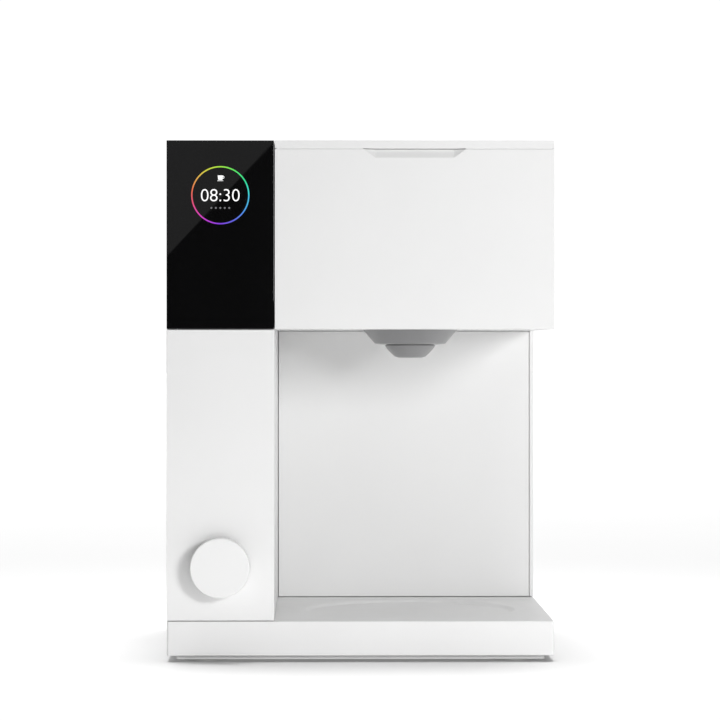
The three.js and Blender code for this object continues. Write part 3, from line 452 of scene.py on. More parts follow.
SHELL = Moulding("satin_white_housing", "shell_white", (0.82, 0.82, 0.818), roughness=0.40)
KNOB = Moulding("matte_white_knob", "knob_white", (0.82, 0.82, 0.818), roughness=0.5, grain=0.5 * MM)
DARK = Moulding("dark_fine_plastic", "dark_plastic", (0.022, 0.023, 0.026), roughness=0.5, mottle=0.1)
SPOUT = Moulding("satin_grey_spout", "spout_grey", (0.262, 0.262, 0.266), roughness=0.36, mottle=0.04)
RUBBER = Moulding("pale_rubber", "rubber", (0.62, 0.62, 0.61), roughness=0.8, grain=0.4 * MM, depth=0.05 * MM)
SILICONE = Moulding("grey_silicone", "silicone", (0.50, 0.51, 0.52), roughness=0.6, scatter=0.1)
CAST = Moulding("cast_heater_skin", "cast_aluminium", (0.42, 0.43, 0.44), roughness=0.55, grain=1.2 * MM,
                depth=0.12 * MM, mottle=0.1)
STEEL = BrushedMetal("brushed_steel", "steel", (0.60, 0.60, 0.59))
STEEL_FLAT = BrushedMetal("brushed_steel_flat", "steel", (0.62, 0.62, 0.61), along=Axis.X)
GLASS = PolishedGlass()
CLEAR = ClearMoulding()
BOARD = CircuitBoard()


# ---------------------------------------------------------------- shapes
Shape = bmesh.types.BMesh


class Join(Enum):
    """How one solid is combined with another."""

    CUT = "DIFFERENCE"
    WELD = "UNION"


@dataclass(frozen=True)
class Box:
    """A box square to the frame, by its lowest and highest corners."""

    low: Vector
    high: Vector

    @classmethod
    def of(cls, *nodes: str) -> Box:
        """Gives the box round one or more CAD nodes.

        Args:
            *nodes: The nodes' names.

        Returns:
            The box that holds them all.
        """
        corners = [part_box(node) for node in nodes]
        low = Vector([min(corner[0][i] for corner in corners) for i in range(3)])
        high = Vector([max(corner[1][i] for corner in corners) for i in range(3)])
        return cls(low, high)

    @classmethod
    def between(cls, xs: Sequence[float], ys: Sequence[float], zs: Sequence[float]) -> Box:
        """Gives a box from its range on each axis."""
        return cls(Vector((xs[0], ys[0], zs[0])), Vector((xs[1], ys[1], zs[1])))

    @property
    def centre(self) -> Vector:
        """The box's middle."""
        return (self.low + self.high) / 2

    @property
    def size(self) -> Vector:
        """The box's length on each axis."""
        return self.high - self.low

    def grown(self, x: float = 0.0, y: float = 0.0, z: float = 0.0) -> Box:
        """Gives the box moved out by an amount on each axis, or in by a negative one."""
        by = Vector((x, y, z))
        return Box(self.low - by, self.high + by)


def block(box: Box) -> Shape:
    """Makes a sharp-edged box."""
    shape = bmesh.new()
    matrix = Matrix.Translation(box.centre) @ Matrix.Diagonal((*box.size, 1))
    bmesh.ops.create_cube(shape, size=1, matrix=matrix)
    return shape


def rounded(shape: Shape, radius: float, sharper_than: float = 40, segments: int = 3) -> Shape:
    """Rounds each edge that turns by more than an angle.

    Args:
        shape: The solid, which is changed.
        radius: How far the rounding reaches from the edge.
        sharper_than: The smallest turn that is rounded, in degrees.
        segments: Faces across the rounding.

    Returns:
        The same solid.
    """
    limit = math.radians(sharper_than)
    edges = [edge for edge in shape.edges if edge.is_manifold and edge.calc_face_angle() > limit]
    bmesh.ops.bevel(shape, geom=edges, offset=radius, offset_type="OFFSET", segments=segments,
                    profile=0.5, affect="EDGES", material=-1, clamp_overlap=True)
    return shape


def slab(box: Box, radius: float = 0.4 * MM, corner: float = 0.0, along: Axis = Axis.Z) -> Shape:
    """Makes a box with rounded edges, and rounder ones along one axis.

    Args:
        box: The outer size.
        radius: Radius of the general edge rounding.
        corner: Radius of the four edges along the axis, where they are rounder.
        along: The axis those four edges run along.

    Returns:
        The slab.
    """
    shape = block(box)
    if corner:
        way = Vector(along.value)
        sides = [edge for edge in shape.edges
                 if abs((edge.verts[0].co - edge.verts[1].co).normalized().dot(way)) > 0.9]
        bmesh.ops.bevel(shape, geom=sides, offset=corner, offset_type="OFFSET", segments=8,
                        profile=0.5, affect="EDGES", material=-1)
    return rounded(shape, radius)


def turned(profile: Sequence[tuple[float, float]], centre: Point | Vector, axis: Axis = Axis.Z,
           steps: int = 96) -> Shape:
    """Spins a profile round an axis.

    Args:
        profile: Radius and place along the axis of each point in turn.
        centre: A point of the axis, at zero along it.
        axis: The axis that it turns about.
        steps: Faces round the turn.

    Returns:
        The turned solid, closed and facing outwards.
    """
    shape = bmesh.new()
    middle = Vector(centre)
    way = Vector(axis.value)
    middle = middle - way * middle.dot(way)
    across = Vector(Axis.Y.value) if axis is Axis.X else Vector(Axis.X.value)
    verts = [shape.verts.new(middle + across * radius + way * place) for radius, place in profile]
    edges = [shape.edges.new(pair) for pair in zip(verts, verts[1:])]
    bmesh.ops.spin(shape, geom=[*verts, *edges], cent=middle, axis=way, dvec=(0, 0, 0),
                   angle=math.tau, steps=steps, use_merge=True, use_duplicate=False)
    bmesh.ops.remove_doubles(shape, verts=shape.verts, dist=1e-6)
    bmesh.ops.recalc_face_normals(shape, faces=shape.faces)
    return shape


def disc(radius: float, ends: Sequence[float], centre: Point | Vector, axis: Axis = Axis.Z,
         steps: int = 48) -> Shape:
    """Makes a plain cylinder between two places on an axis, mostly to cut or weld with."""
    low, high = ends
    return turned([(0, low), (radius, low), (radius, high), (0, high)], centre, axis, steps)


def prism(outline: Sequence[tuple[float, float]], ends: Sequence[float], axis: Axis) -> Shape:
    """Extrudes a closed outline along an axis.

    Args:
        outline: Points in the two other axes, in their alphabetical order.
        ends: Where it starts and ends along the axis.
        axis: The axis of the extrusion.

    Returns:
        The prism.
    """
    shape = bmesh.new()
    slot = [part == 1.0 for part in axis.value].index(True)
    points = [[*point[:slot], ends[0], *point[slot:]] for point in outline]
    face = shape.faces.new([shape.verts.new(point) for point in points])
    grown = bmesh.ops.extrude_face_region(shape, geom=[face])["geom"]
    far = [part for part in grown if isinstance(part, bmesh.types.BMVert)]
    bmesh.ops.translate(shape, verts=far, vec=Vector(axis.value) * (ends[1] - ends[0]))
    bmesh.ops.recalc_face_normals(shape, faces=shape.faces)
    return shape


def loose_object(shape: Shape) -> bpy.types.Object:
    """Turns a shape into a passing object and frees the shape."""
    mesh = bpy.data.meshes.new("passing")
    shape.to_mesh(mesh)
    shape.free()
    holder = bpy.data.objects.new("passing", mesh)
    bpy.context.scene.collection.objects.link(holder)
    return holder


def combined(first: Shape, others: Iterable[Shape], how: Join) -> Shape:
    """Cuts shapes from a solid, or welds them to it.

    Args:
        first: The solid to start from.
        others: The shapes to cut with or to add.
        how: Whether they are cut away or welded on.

    Returns:
        The new solid, with flat faces made whole.
    """
    start = loose_object(first)
    tools = [loose_object(other) for other in others]
    for tool in tools:
        step = start.modifiers.new("step", "BOOLEAN")
        step.operation = how.value
        step.solver = "EXACT"
        step.object = tool
    graph = bpy.context.evaluated_depsgraph_get()
    mesh = bpy.data.meshes.new_from_object(start.evaluated_get(graph))
    shape = bmesh.new()
    shape.from_mesh(mesh)
    bpy.data.meshes.remove(mesh)
    for passing in (start, *tools):
        data = passing.data
        bpy.data.objects.remove(passing)
        bpy.data.meshes.remove(data)
    return whole_faces(shape)


def whole_faces(shape: Shape) -> Shape:
    """Merges doubled corners and joins the faces that lie in one plane."""
    bmesh.ops.remove_doubles(shape, verts=shape.verts, dist=2e-6)
    bmesh.ops.dissolve_limit(shape, angle_limit=math.radians(0.5), verts=shape.verts, edges=shape.edges)
    return shape


def cad_shape(node: str) -> Shape:
    """Copies a CAD node's mesh, merged, with flat faces made whole.

    Args:
        node: The node's name.

    Returns:
        The copy; the node's own mesh is left alone.
    """
    shape = bmesh.new()
    shape.from_mesh(bpy.data.objects[node].data)
    return whole_faces(shape)


def softened(node: str, radius: float = 0.35 * MM, sharper_than: float = 40) -> Shape:
    """Copies a CAD node with its edges rounded."""
    return rounded(cad_shape(node), radius, sharper_than)


def gathered(*shapes: Shape) -> Shape:
    """Puts several shapes in one, without welding them."""
    total = bmesh.new()
    for shape in shapes:
        mesh = bpy.data.meshes.new("passing")
        shape.to_mesh(mesh)
        shape.free()
        total.from_mesh(mesh)
        bpy.data.meshes.remove(mesh)
    return total


def hose_along(points: Sequence[Point | Vector], radius: float, rings: int = 16) -> Shape:
    """Makes a round hose along a smooth line through points.

    Args:
        points: The points it passes through.
        radius: The hose's radius.
        rings: Steps between two points.

    Returns:
        The hose, capped at both ends.
    """
    curve = bpy.data.curves.new("passing", "CURVE")
    curve.dimensions = "3D"
    curve.resolution_u = rings
    curve.bevel_depth = radius
    curve.bevel_resolution = 6
    curve.use_fill_caps = True
    line = curve.splines.new("BEZIER")
    line.bezier_points.add(len(points) - 1)
    for knot, point in zip(line.bezier_points, points):
        knot.co = point
        knot.handle_left_type = knot.handle_right_type = "AUTO"
    holder = bpy.data.objects.new("passing", curve)
    bpy.context.scene.collection.objects.link(holder)
    graph = bpy.context.evaluated_depsgraph_get()
    mesh = bpy.data.meshes.new_from_object(holder.evaluated_get(graph))
    shape = bmesh.new()
    shape.from_mesh(mesh)
    bpy.data.objects.remove(holder)
    bpy.data.curves.remove(curve)
    bpy.data.meshes.remove(mesh)
    bmesh.ops.remove_doubles(shape, verts=shape.verts, dist=1e-6)
    bmesh.ops.recalc_face_normals(shape, faces=shape.faces)
    return shape


# ---------------------------------------------------------------- pieces
@dataclass
class Piece:
    """One visible piece: its shape, its finish, the body it rides on and the nodes it stands for."""

    name: str
    shape: Shape
    finish: Finish
    body: str = "root"
    stands_for: tuple[str, ...] = ()
    crease: float = 35.0

    def finished(self) -> bpy.types.Object:
        """Makes the piece's object, shades it and ties it to the frame.

        Returns:
            The finished object.
        """
        mesh = bpy.data.meshes.new(self.name)
        self.shape.to_mesh(mesh)
        self.shape.free()
        mesh.shade_smooth()
        mesh.set_sharp_from_angle(angle=math.radians(self.crease))
        mesh.materials.append(material_of(self.finish))
        holder = bpy.data.objects.new(self.name, mesh)
        bpy.context.scene.collection.objects.link(holder)
        even = holder.modifiers.new("even_shading", "WEIGHTED_NORMAL")
        even.keep_sharp = True
        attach(holder, self.body)
        if self.stands_for:
            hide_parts(*self.stands_for)
        return holder


@dataclass
class SubAssembly:
    """Pieces that are built together and then dressed."""

    pieces: list[Piece] = field(default_factory=list, init=False)

    def add(self, name: str, shape: Shape, finish: Finish, *nodes: str, body: str = "root",
            crease: float = 35.0) -> None:
        """Adds a built piece.

        Args:
            name: The piece's name.
            shape: Its solid.
            finish: Its finish.
            *nodes: The CAD nodes it stands for.
            body: The body it rides on.
            crease: The angle past which its faces meet in a sharp line, in degrees.
        """
        self.pieces.append(Piece(name, shape, finish, body, nodes, crease))

    def build(self) -> None:
        """Builds the sub-assembly's shapes."""
        raise NotImplementedError

    def dress(self) -> None:
        """Gives each shape its finish and body, and reports it."""
        for piece in self.pieces:
            holder = piece.finished()
            LOG.info("%s: %s, %d faces", type(self).__name__, holder.name, len(holder.data.polygons))


# ---------------------------------------------------------------- stage
@dataclass(frozen=True)
class PaleFloor:
    """White studio paper with the faintest unevenness."""

    name: str = "white_studio_paper"
    slot: str = ""
    colour: Colour = (0.62, 0.62, 0.62)
    glow: float = 0.12

    def material(self) -> bpy.types.Material:
        """Builds the paper's material."""
        graph = NodeGraph(self.name)
        graph.tint(graph.noise(graph.place(), 0.5), shaded(self.colour, 0.99), self.colour)
        graph.set(Roughness=0.9, Specular_IOR_Level=0.1)
        graph.set(Emission_Color=(1, 1, 1, 1), Emission_Strength=self.glow)
        return graph.material


@dataclass(frozen=True)
class GlowCard:
    """A bright studio card, which only shows as a reflection."""

    name: str = "bright_studio_card"
    slot: str = ""
    strength: float = 0.33

    def material(self) -> bpy.types.Material:
        """Builds the card's material."""
        graph = NodeGraph(self.name)
        graph.set(Base_Color=(0, 0, 0, 1), Emission_Color=(1, 1, 1, 1), Emission_Strength=self.strength)
        return graph.material


@dataclass(frozen=True)
class Lamp:
    """A lamp aimed at the brewer, or straight back if level; it lights only the floor or all else."""

    name: str
    kind: str
    place: Point
    power: float
    settings: tuple[tuple[str, object], ...]
    only_floor: bool = False
    level: bool = False

    def stand(self, middle: Vector, floor: bpy.types.Object) -> None:
        """Makes the lamp.

        Args:
            middle: The brewer's middle.
            floor: The floor's object.
        """
        data = bpy.data.lights.new(self.name, self.kind)
        data.energy = self.power
        for name, value in self.settings:
            setattr(data, name, value)
        holder = bpy.data.objects.new(self.name, data)
        holder.location = self.place
        aim = middle - Vector(self.place)
        holder.rotation_euler = aim.to_track_quat("-Z", "Y").to_euler()
        if self.level:
            holder.rotation_euler = (math.radians(90), 0, 0)
            holder.visible_camera = False
        bpy.context.scene.collection.objects.link(holder)
        self.link(holder, floor)

    def link(self, holder: bpy.types.Object, floor: bpy.types.Object) -> None:
        """Makes the lamp fall only on the floor, or on all but the floor."""
        group = bpy.data.collections.new(f"{self.name}_receivers")
        group.objects.link(floor)
        group.collection_objects[0].light_linking.link_state = "INCLUDE" if self.only_floor else "EXCLUDE"
        holder.light_linking.receiver_collection = group


KEY = Lamp("key", "AREA", (0.62, -1.2, 0.38), 8.7, (("size", 0.3),))
HIGH_FILL = Lamp("high_fill", "AREA", (0.25, -1.05, 1.25), 1.2, (("size", 0.8),))
FLOOR_SKY = Lamp("floor_sky", "SUN", (0, 0.24, 1.6), 2.1, (("angle", math.radians(34)),), only_floor=True)
FLOOR_POOL = Lamp("floor_pool", "SPOT", (0, 0.1, 1.6), 100,
                  (("shadow_soft_size", 0.4), ("spot_size", math.radians(36)), ("spot_blend", 1)),
                  only_floor=True)
LOW_FRONT = Lamp("low_front", "AREA", (0.03, -0.36, 0.02), 0.09,
                 (("shape", "RECTANGLE"), ("size", 0.3), ("size_y", 0.03)), level=True)


@dataclass
class Studio:
    """The camera, the pale floor and the soft lights."""

    distance: float = 1.706
    aside: float = -0.0254
    height: float = 0.1825
    lens: float = 146.4
    turn: float = -0.841
    dip: float = -0.215
    floor_side: float = 40.0
    surround: float = 1.04
    sensor: float = 36.0
    card_size: Point = (0.7, 0.5, 1.0)
    card_edge: Point = (-0.150, -2.2, 0.380)
    card_tilt: float = -46.0
    lamps: tuple[Lamp, ...] = (KEY, HIGH_FILL, FLOOR_SKY, FLOOR_POOL, LOW_FRONT)

    def set_up(self) -> None:
        """Makes the camera, the world, the lights and the floor."""
        self.camera()
        self.world()
        floor = self.plane("floor", Matrix.Scale(self.floor_side, 4), PaleFloor())
        for lamp in self.lamps:
            lamp.stand(Vector((0, 0, self.height)), floor)
        self.dim_wall("front_wall", (0, -2.6, 2.9), (7.0, 6.0), 0, 0.03)
        self.dim_wall("right_wall", (2.3, -0.5, 1.7), (4.2, 3.4), 90, 0.12)
        self.dim_wall("left_wall", (-1.9, -1.0, 1.7), (3.2, 3.4), 90, 0.1)
        self.reflection_card()
        bpy.context.scene.view_settings.view_transform = "Standard"

    def camera(self) -> None:
        """Makes the camera in front of the brewer, a little left of the middle."""
        front = Box.of("head_front_panel").low.y
        data = bpy.data.cameras.new("camera")
        data.lens = self.lens
        data.sensor_width = self.sensor
        holder = bpy.data.objects.new("camera", data)
        holder.location = (self.aside, front - self.distance, self.height)
        holder.rotation_euler = (math.radians(90 + self.dip), 0, math.radians(self.turn))
        bpy.context.scene.collection.objects.link(holder)
        bpy.context.scene.camera = holder

    def world(self) -> None:
        """Makes the plain white surround."""
        world = bpy.data.worlds.new("white_surround")
        world.use_nodes = True
        background = world.node_tree.nodes["Background"]
        background.inputs["Color"].default_value = (1, 1, 1, 1)
        background.inputs["Strength"].default_value = self.surround
        bpy.context.scene.world = world

    def plane(self, name: str, matrix: Matrix, finish: Finish) -> bpy.types.Object:
        """Makes a stage plane of one metre a side, placed and sized by a matrix."""
        shape = bmesh.new()
        bmesh.ops.create_grid(shape, x_segments=1, y_segments=1, size=0.5, matrix=matrix)
        holder = loose_object(shape)
        holder.name = name
        holder.data.materials.append(material_of(finish))
        return holder

    def dim_wall(self, name: str, place: Point, size: tuple[float, float], turn: float, glow: float) -> None:
        """Stands a dim wall outside the view, which shades one side and shows in the gloss.

        Args:
            name: The wall's name.
            place: Its centre.
            size: Its width and height.
            turn: Its turn about the vertical, in degrees.
            glow: How bright it is against the white surround.
        """
        stand = Matrix.Rotation(math.radians(turn), 4, "Z") @ Matrix.Rotation(math.radians(90), 4, "X")
        matrix = Matrix.Translation(place) @ stand @ Matrix.Diagonal((*size, 1, 1))
        wall = self.plane(name, matrix, GlowCard(name, strength=glow))
        wall.visible_camera = False

    def reflection_card(self) -> None:
        """Hangs a tilted card behind the camera, so the display glass shows its lower edge."""
        tilt = Matrix.Rotation(math.radians(self.card_tilt), 4, "Y")
        upright = Matrix.Rotation(math.radians(90), 4, "X")
        lift = Vector((-0.72, 0, 0.69)) * self.card_size[1] / 2
        size = Matrix.Diagonal((*self.card_size, 1))
        move = Matrix.Translation(Vector(self.card_edge) + lift)
        card = self.plane("card", move @ tilt @ upright @ size, GlowCard())
        card.visible_camera = False
        card.visible_diffuse = False


# ---------------------------------------------------------------- base
@dataclass
class BaseAssembly(SubAssembly):
    """The white base with its cup dish, the plinth plate, the feet and the screws."""

    wall: float = 2.4 * MM
    deck: float = 3.6 * MM
    corner: float = 1.5 * MM
    edge: float = 0.6 * MM
    dish_radius: float = 64 * MM
    dish_rim: float = 3 * MM
    dish_depth: float = 1.8 * MM
    post_radius: float = 4.5 * MM
    pilot_radius: float = 1.3 * MM
    hose_way: float = 6 * MM
    stem_radius: float = 3 * MM
    screw_shank: float = 1 * MM

    def build(self) -> None:
        """Builds the base's shapes."""
        self.add("base_tray", self.tray(), SHELL, "base_housing")
        self.add("plinth_plate", softened("base_plate", 0.4 * MM), SHELL, "base_plate")
        for place in ("front_left", "front_right", "rear_left", "rear_right"):
            foot = f"foot_{place}"
            screw = f"base_screw_{place}"
            self.add(f"rubber_{foot}", self.foot(foot), RUBBER, foot)
            self.add(f"steel_{screw}", self.screw(screw), STEEL, screw)

    def tray(self) -> Shape:
        """Builds the base: a hollow block with a round dish in its deck.

        Returns:
            The tray.
        """
        outer = Box.of("base_housing")
        axis = Box.of("brew_basket").centre
        top = outer.high.z
        deck_bottom = top - self.deck
        room = outer.grown(-self.wall, -self.wall)
        hollow = block(Box(room.low - Vector((0, 0, 1 * MM)), Vector((*room.high.xy, deck_bottom))))
        floor = top - self.dish_depth
        inner = self.dish_radius - self.dish_rim
        dish = turned([(0, floor), (inner - 2 * MM, floor), (inner - 0.6 * MM, floor + 0.12 * MM),
                       (inner + 0.6 * MM, floor + 0.6 * MM), (self.dish_radius - 1 * MM, top - 0.42 * MM),
                       (self.dish_radius, top - 0.1 * MM), (self.dish_radius + 0.7 * MM, top + 0.01 * MM),
                       (self.dish_radius + 0.7 * MM, top + 2 * MM), (0, top + 2 * MM)], axis, steps=160)
        tray = combined(slab(outer, self.edge, self.corner), [hollow], Join.CUT)
        screws = [Box.of(f"base_screw_{place}") for place in
                  ("front_left", "front_right", "rear_left", "rear_right")]
        plate_top = Box.of("base_plate").high.z + 0.3 * MM
        posts = [disc(self.post_radius, (plate_top, deck_bottom + 1 * MM), screw.centre) for screw in screws]
        tray = combined(tray, posts, Join.WELD)
        pilots = [disc(self.pilot_radius, (0, screw.high.z + 1 * MM), screw.centre, steps=16)
                  for screw in screws]
        ways = [disc(self.hose_way, (0, top + 1 * MM), Box.of(node).centre)
                for node in ("tank_valve", "flow_meter")]
        return combined(tray, [dish, *pilots, *ways], Join.CUT)

    def foot(self, node: str) -> Shape:
        """Builds a rubber foot with a ribbed sole and a plug stem.

        Args:
            node: The CAD foot that gives its place.

        Returns:
            The foot.
        """
        box = Box.of(node)
        radius = box.size.x / 2
        pad = 1 * MM
        groove = 0.35 * MM
        sole = [(0, groove)]
        for ring in (0.25, 0.45, 0.65, 0.82):
            sole += [(radius * ring, groove), (radius * ring + 0.3 * MM, 0),
                     (radius * ring + 1.4 * MM, 0), (radius * ring + 1.7 * MM, groove)]
        profile = [*sole[:-1], (radius - 0.3 * MM, 0), (radius, 0.3 * MM), (radius, pad - 0.2 * MM),
                   (radius - 0.2 * MM, pad), (self.stem_radius, pad), (self.stem_radius, box.high.z - 1 * MM),
                   (self.stem_radius - 1 * MM, box.high.z), (0, box.high.z)]
        return turned(profile, box.centre, steps=72)

    def screw(self, node: str) -> Shape:
        """Builds a pan-head screw with a cross recess and a few thread ridges.

        Args:
            node: The CAD screw that gives its place.

        Returns:
            The screw, head down.
        """
        box = Box.of(node)
        head = box.size.x / 2
        under = box.low.z + 1.2 * MM
        profile = [(0, box.low.z), (head - 0.9 * MM, box.low.z), (head - 0.25 * MM, box.low.z + 0.3 * MM),
                   (head, box.low.z + 0.8 * MM), (head, under), (self.screw_shank, under)]
        pitch = 0.9 * MM
        ridges = int((box.high.z - under) / pitch) - 1
        for ridge in range(ridges):
            start = under + pitch * (ridge + 0.6)
            profile += [(self.screw_shank * 0.8, start), (self.screw_shank, start + pitch / 3)]
        profile += [(self.screw_shank * 0.8, box.high.z - 0.8 * MM), (0, box.high.z)]
        body = turned(profile, box.centre, steps=24)
        arm = Vector((head * 0.6, 0.35 * MM, 0.6 * MM))
        middle = Vector((*box.centre.xy, box.low.z))
        cross = [block(Box(middle - way, middle + way)) for way in (arm, Vector((arm.y, arm.x, arm.z)))]
        return combined(body, cross, Join.CUT)


# ---------------------------------------------------------------- tower
@dataclass
class Tower(SubAssembly):
    """The tower's white panels, and the wall in front of the tank."""

    edge: float = 0.4 * MM
    bush_hole: float = 6.3 * MM

    def build(self) -> None:
        """Builds the tower's shapes."""
        self.add("tower_front", self.front(), SHELL, "tower_front_panel")
        self.add("tower_side", slab(Box.of("tower_side_panel"), self.edge), SHELL, "tower_side_panel")
        self.add("tower_top", slab(Box.of("tower_top_panel"), self.edge), SHELL, "tower_top_panel")
        self.add("tower_partition", softened("tower_inner_panel", self.edge), SHELL, "tower_inner_panel")
        self.add("tank_bay_panel", slab(Box.of("tank_bay_wall"), self.edge), SHELL, "tank_bay_wall")

    def front(self) -> Shape:
        """Builds the flat front with the knob's hole."""
        box = Box.of("tower_front_panel")
        hole = disc(self.bush_hole, (box.low.y - 1 * MM, box.high.y + 1 * MM), Box.of("knob").centre, Axis.Y)
        return combined(slab(box, self.edge), [hole], Join.CUT)


@dataclass
class Display(SubAssembly):
    """The polished glass with its lit ring and marks, and the parts behind it."""

    edge: float = 0.35 * MM
    ring_radius: float = 16.95 * MM
    ring_width: float = 0.75 * MM
    proud: float = 0.05 * MM
    digits: str = "08:30"
    digits_width: float = 22.5 * MM
    thinning: float = -0.012
    below_line: float = 7.4 * MM
    icon_rise: float = 10.0 * MM

    def build(self) -> None:
        """Builds the display's shapes."""
        glass = Box.of("display_glass")
        module = Box.of("display_module")
        centre = Vector((glass.centre.x, glass.low.y, module.centre.z))
        self.add("display_pane", slab(glass, self.edge), GLASS, "display_glass")
        spectrum = SpectrumLight(tuple(centre))
        self.add("display_ring", self.ring(centre), spectrum)
        white = LitMark("lit_white", (1.0, 1.0, 1.0), 1.2)
        grey = LitMark("lit_grey", linear(120, 120, 124), 1.0)
        self.add("display_digits", self.number(centre), white)
        self.add("display_cup_icon", self.cup(centre + Vector((0, 0, self.icon_rise))), white)
        self.add("display_level_dots", self.dots(centre - Vector((0, 0, self.below_line))), grey)
        self.add("display_surround", softened("display_frame"), DARK, "display_frame")
        self.add("display_screen_module", self.module(module), DARK, "display_module")
        self.add("control_circuit_board", populated_board("control_board", Axis.Y), BOARD, "control_board")

    def ring(self, centre: Vector) -> Shape:
        """Builds the flat ring."""
        front = centre.y - self.proud
        outer = self.ring_radius
        inner = outer - self.ring_width
        profile = [(inner, front), (outer, front), (outer, centre.y), (inner, centre.y), (inner, front)]
        return turned(profile, centre, Axis.Y, steps=144)

    def number(self, centre: Vector) -> Shape:
        """Builds the digits from a font outline, sized to their width.

        Args:
            centre: The middle of the display.

        Returns:
            The digits as thin solids.
        """
        text = bpy.data.curves.new("passing", "FONT")
        text.body = self.digits
        text.align_x = "CENTER"
        text.align_y = "CENTER"
        text.resolution_u = 8
        text.offset = self.thinning
        text.extrude = 0.5
        holder = bpy.data.objects.new("passing", text)
        bpy.context.scene.collection.objects.link(holder)
        graph = bpy.context.evaluated_depsgraph_get()
        mesh = bpy.data.meshes.new_from_object(holder.evaluated_get(graph))
        bpy.data.objects.remove(holder)
        bpy.data.curves.remove(text)
        shape = bmesh.new()
        shape.from_mesh(mesh)
        bpy.data.meshes.remove(mesh)
        bmesh.ops.remove_doubles(shape, verts=shape.verts, dist=1e-5)
        xs = [vert.co.x for vert in shape.verts]
        ys = [vert.co.y for vert in shape.verts]
        scale = self.digits_width / (max(xs) - min(xs))
        middle = Vector(((max(xs) + min(xs)) / 2, (max(ys) + min(ys)) / 2, 0))
        bmesh.ops.translate(shape, verts=shape.verts, vec=-middle)
        bmesh.ops.scale(shape, verts=shape.verts, vec=(scale, scale, self.proud))
        stand = Matrix.Rotation(math.radians(90), 3, "X")
        bmesh.ops.rotate(shape, verts=shape.verts, cent=(0, 0, 0), matrix=stand)
        bmesh.ops.translate(shape, verts=shape.verts, vec=centre - Vector((0, self.proud / 2, 0)))
        return shape

    def cup(self, centre: Vector) -> Shape:
        """Builds the small cup icon: a cup body, a handle and a saucer line."""
        half = 1.5 * MM
        ends = (centre.y - self.proud, centre.y)
        body = [(centre.x - half, centre.z + half), (centre.x - half * 0.8, centre.z - half * 0.7),
                (centre.x + half * 0.8, centre.z - half * 0.7), (centre.x + half, centre.z + half)]
        handle_at = (centre.x + half, 0, centre.z + half * 0.3)
        handle = turned([(0.5 * MM, ends[0]), (0.85 * MM, ends[0]), (0.85 * MM, ends[1]), (0.5 * MM, ends[1]),
                         (0.5 * MM, ends[0])], handle_at, Axis.Y, steps=24)
        left, right = centre.x - half * 1.1, centre.x + half * 1.1
        low, high = centre.z - half * 1.15, centre.z - half * 0.95
        saucer = [(left, low), (right, low), (right, high), (left, high)]
        return gathered(prism(body, ends, Axis.Y), handle, prism(saucer, ends, Axis.Y))

    def dots(self, centre: Vector) -> Shape:
        """Builds the row of small level dots under the digits."""
        pitch = 2.6 * MM
        ends = (centre.y - self.proud, centre.y)
        places = [Vector((centre.x + pitch * step, 0, centre.z)) for step in range(-2, 3)]
        return gathered(*[disc(0.55 * MM, ends, place, Axis.Y, steps=20) for place in places])

    def module(self, box: Box) -> Shape:
        """Builds the screen module with a raised bezel round its screen."""
        shape = slab(box, 0.4 * MM)
        front = [face for face in shape.faces if face.normal.y < -0.99 and face.calc_area() > 1e-4]
        bmesh.ops.inset_region(shape, faces=front, thickness=2 * MM, depth=0)
        bmesh.ops.inset_region(shape, faces=front, thickness=0.2 * MM, depth=-0.4 * MM)
        return shape


@dataclass
class Knob(SubAssembly):
    """The white knob, its shaft, bush and encoder."""

    radius: float = 17.35 * MM
    bevel: float = 0.9 * MM
    bore_radius: float = 3.3 * MM
    bore_depth: float = 8.4 * MM
    shaft_radius: float = 3 * MM

    def build(self) -> None:
        """Builds the knob's shapes."""
        self.add("knob_cap", self.cap(), KNOB, "knob", body="knob")
        self.add("knob_shaft", self.shaft(), STEEL, "encoder_shaft", body="encoder_shaft")
        self.add("knob_bushing", self.bush(), DARK, "knob_bush")
        self.add("knob_encoder", softened("encoder_body", 0.3 * MM), STEEL_FLAT, "encoder_body")

    def cap(self) -> Shape:
        """Builds the disc with softly rounded rims and the shaft's bore behind."""
        box = Box.of("knob")
        front, back = box.low.y, box.high.y
        bore = back - self.bore_depth
        profile = [(0, front), (self.radius, front), (self.radius, back), (self.bore_radius, back),
                   (self.bore_radius, bore), (0, bore)]
        return rounded(turned(profile, box.centre, Axis.Y, steps=144), self.bevel, segments=5)

    def shaft(self) -> Shape:
        """Builds the round shaft with chamfered ends and a snap groove."""
        box = Box.of("encoder_shaft")
        front, back, radius = box.low.y, box.high.y, self.shaft_radius
        groove = back - 3 * MM
        profile = [(0, front), (radius - 0.5 * MM, front), (radius, front + 0.5 * MM), (radius, groove),
                   (radius - 0.4 * MM, groove), (radius - 0.4 * MM, groove + 0.8 * MM),
                   (radius, groove + 0.8 * MM), (radius, back - 0.4 * MM), (radius - 0.4 * MM, back),
                   (0, back)]
        return turned(profile, box.centre, Axis.Y, steps=64)

    def bush(self) -> Shape:
        """Builds the flanged bush."""
        box = Box.of("knob_bush")
        sleeve = 6 * MM
        flange = box.size.x / 2
        step = box.high.y - 1.2 * MM
        profile = [(self.bore_radius, box.low.y), (sleeve, box.low.y), (sleeve, step), (flange, step),
                   (flange, box.high.y), (self.bore_radius, box.high.y), (self.bore_radius, box.low.y)]
        return rounded(turned(profile, box.centre, Axis.Y, steps=72), 0.25 * MM)


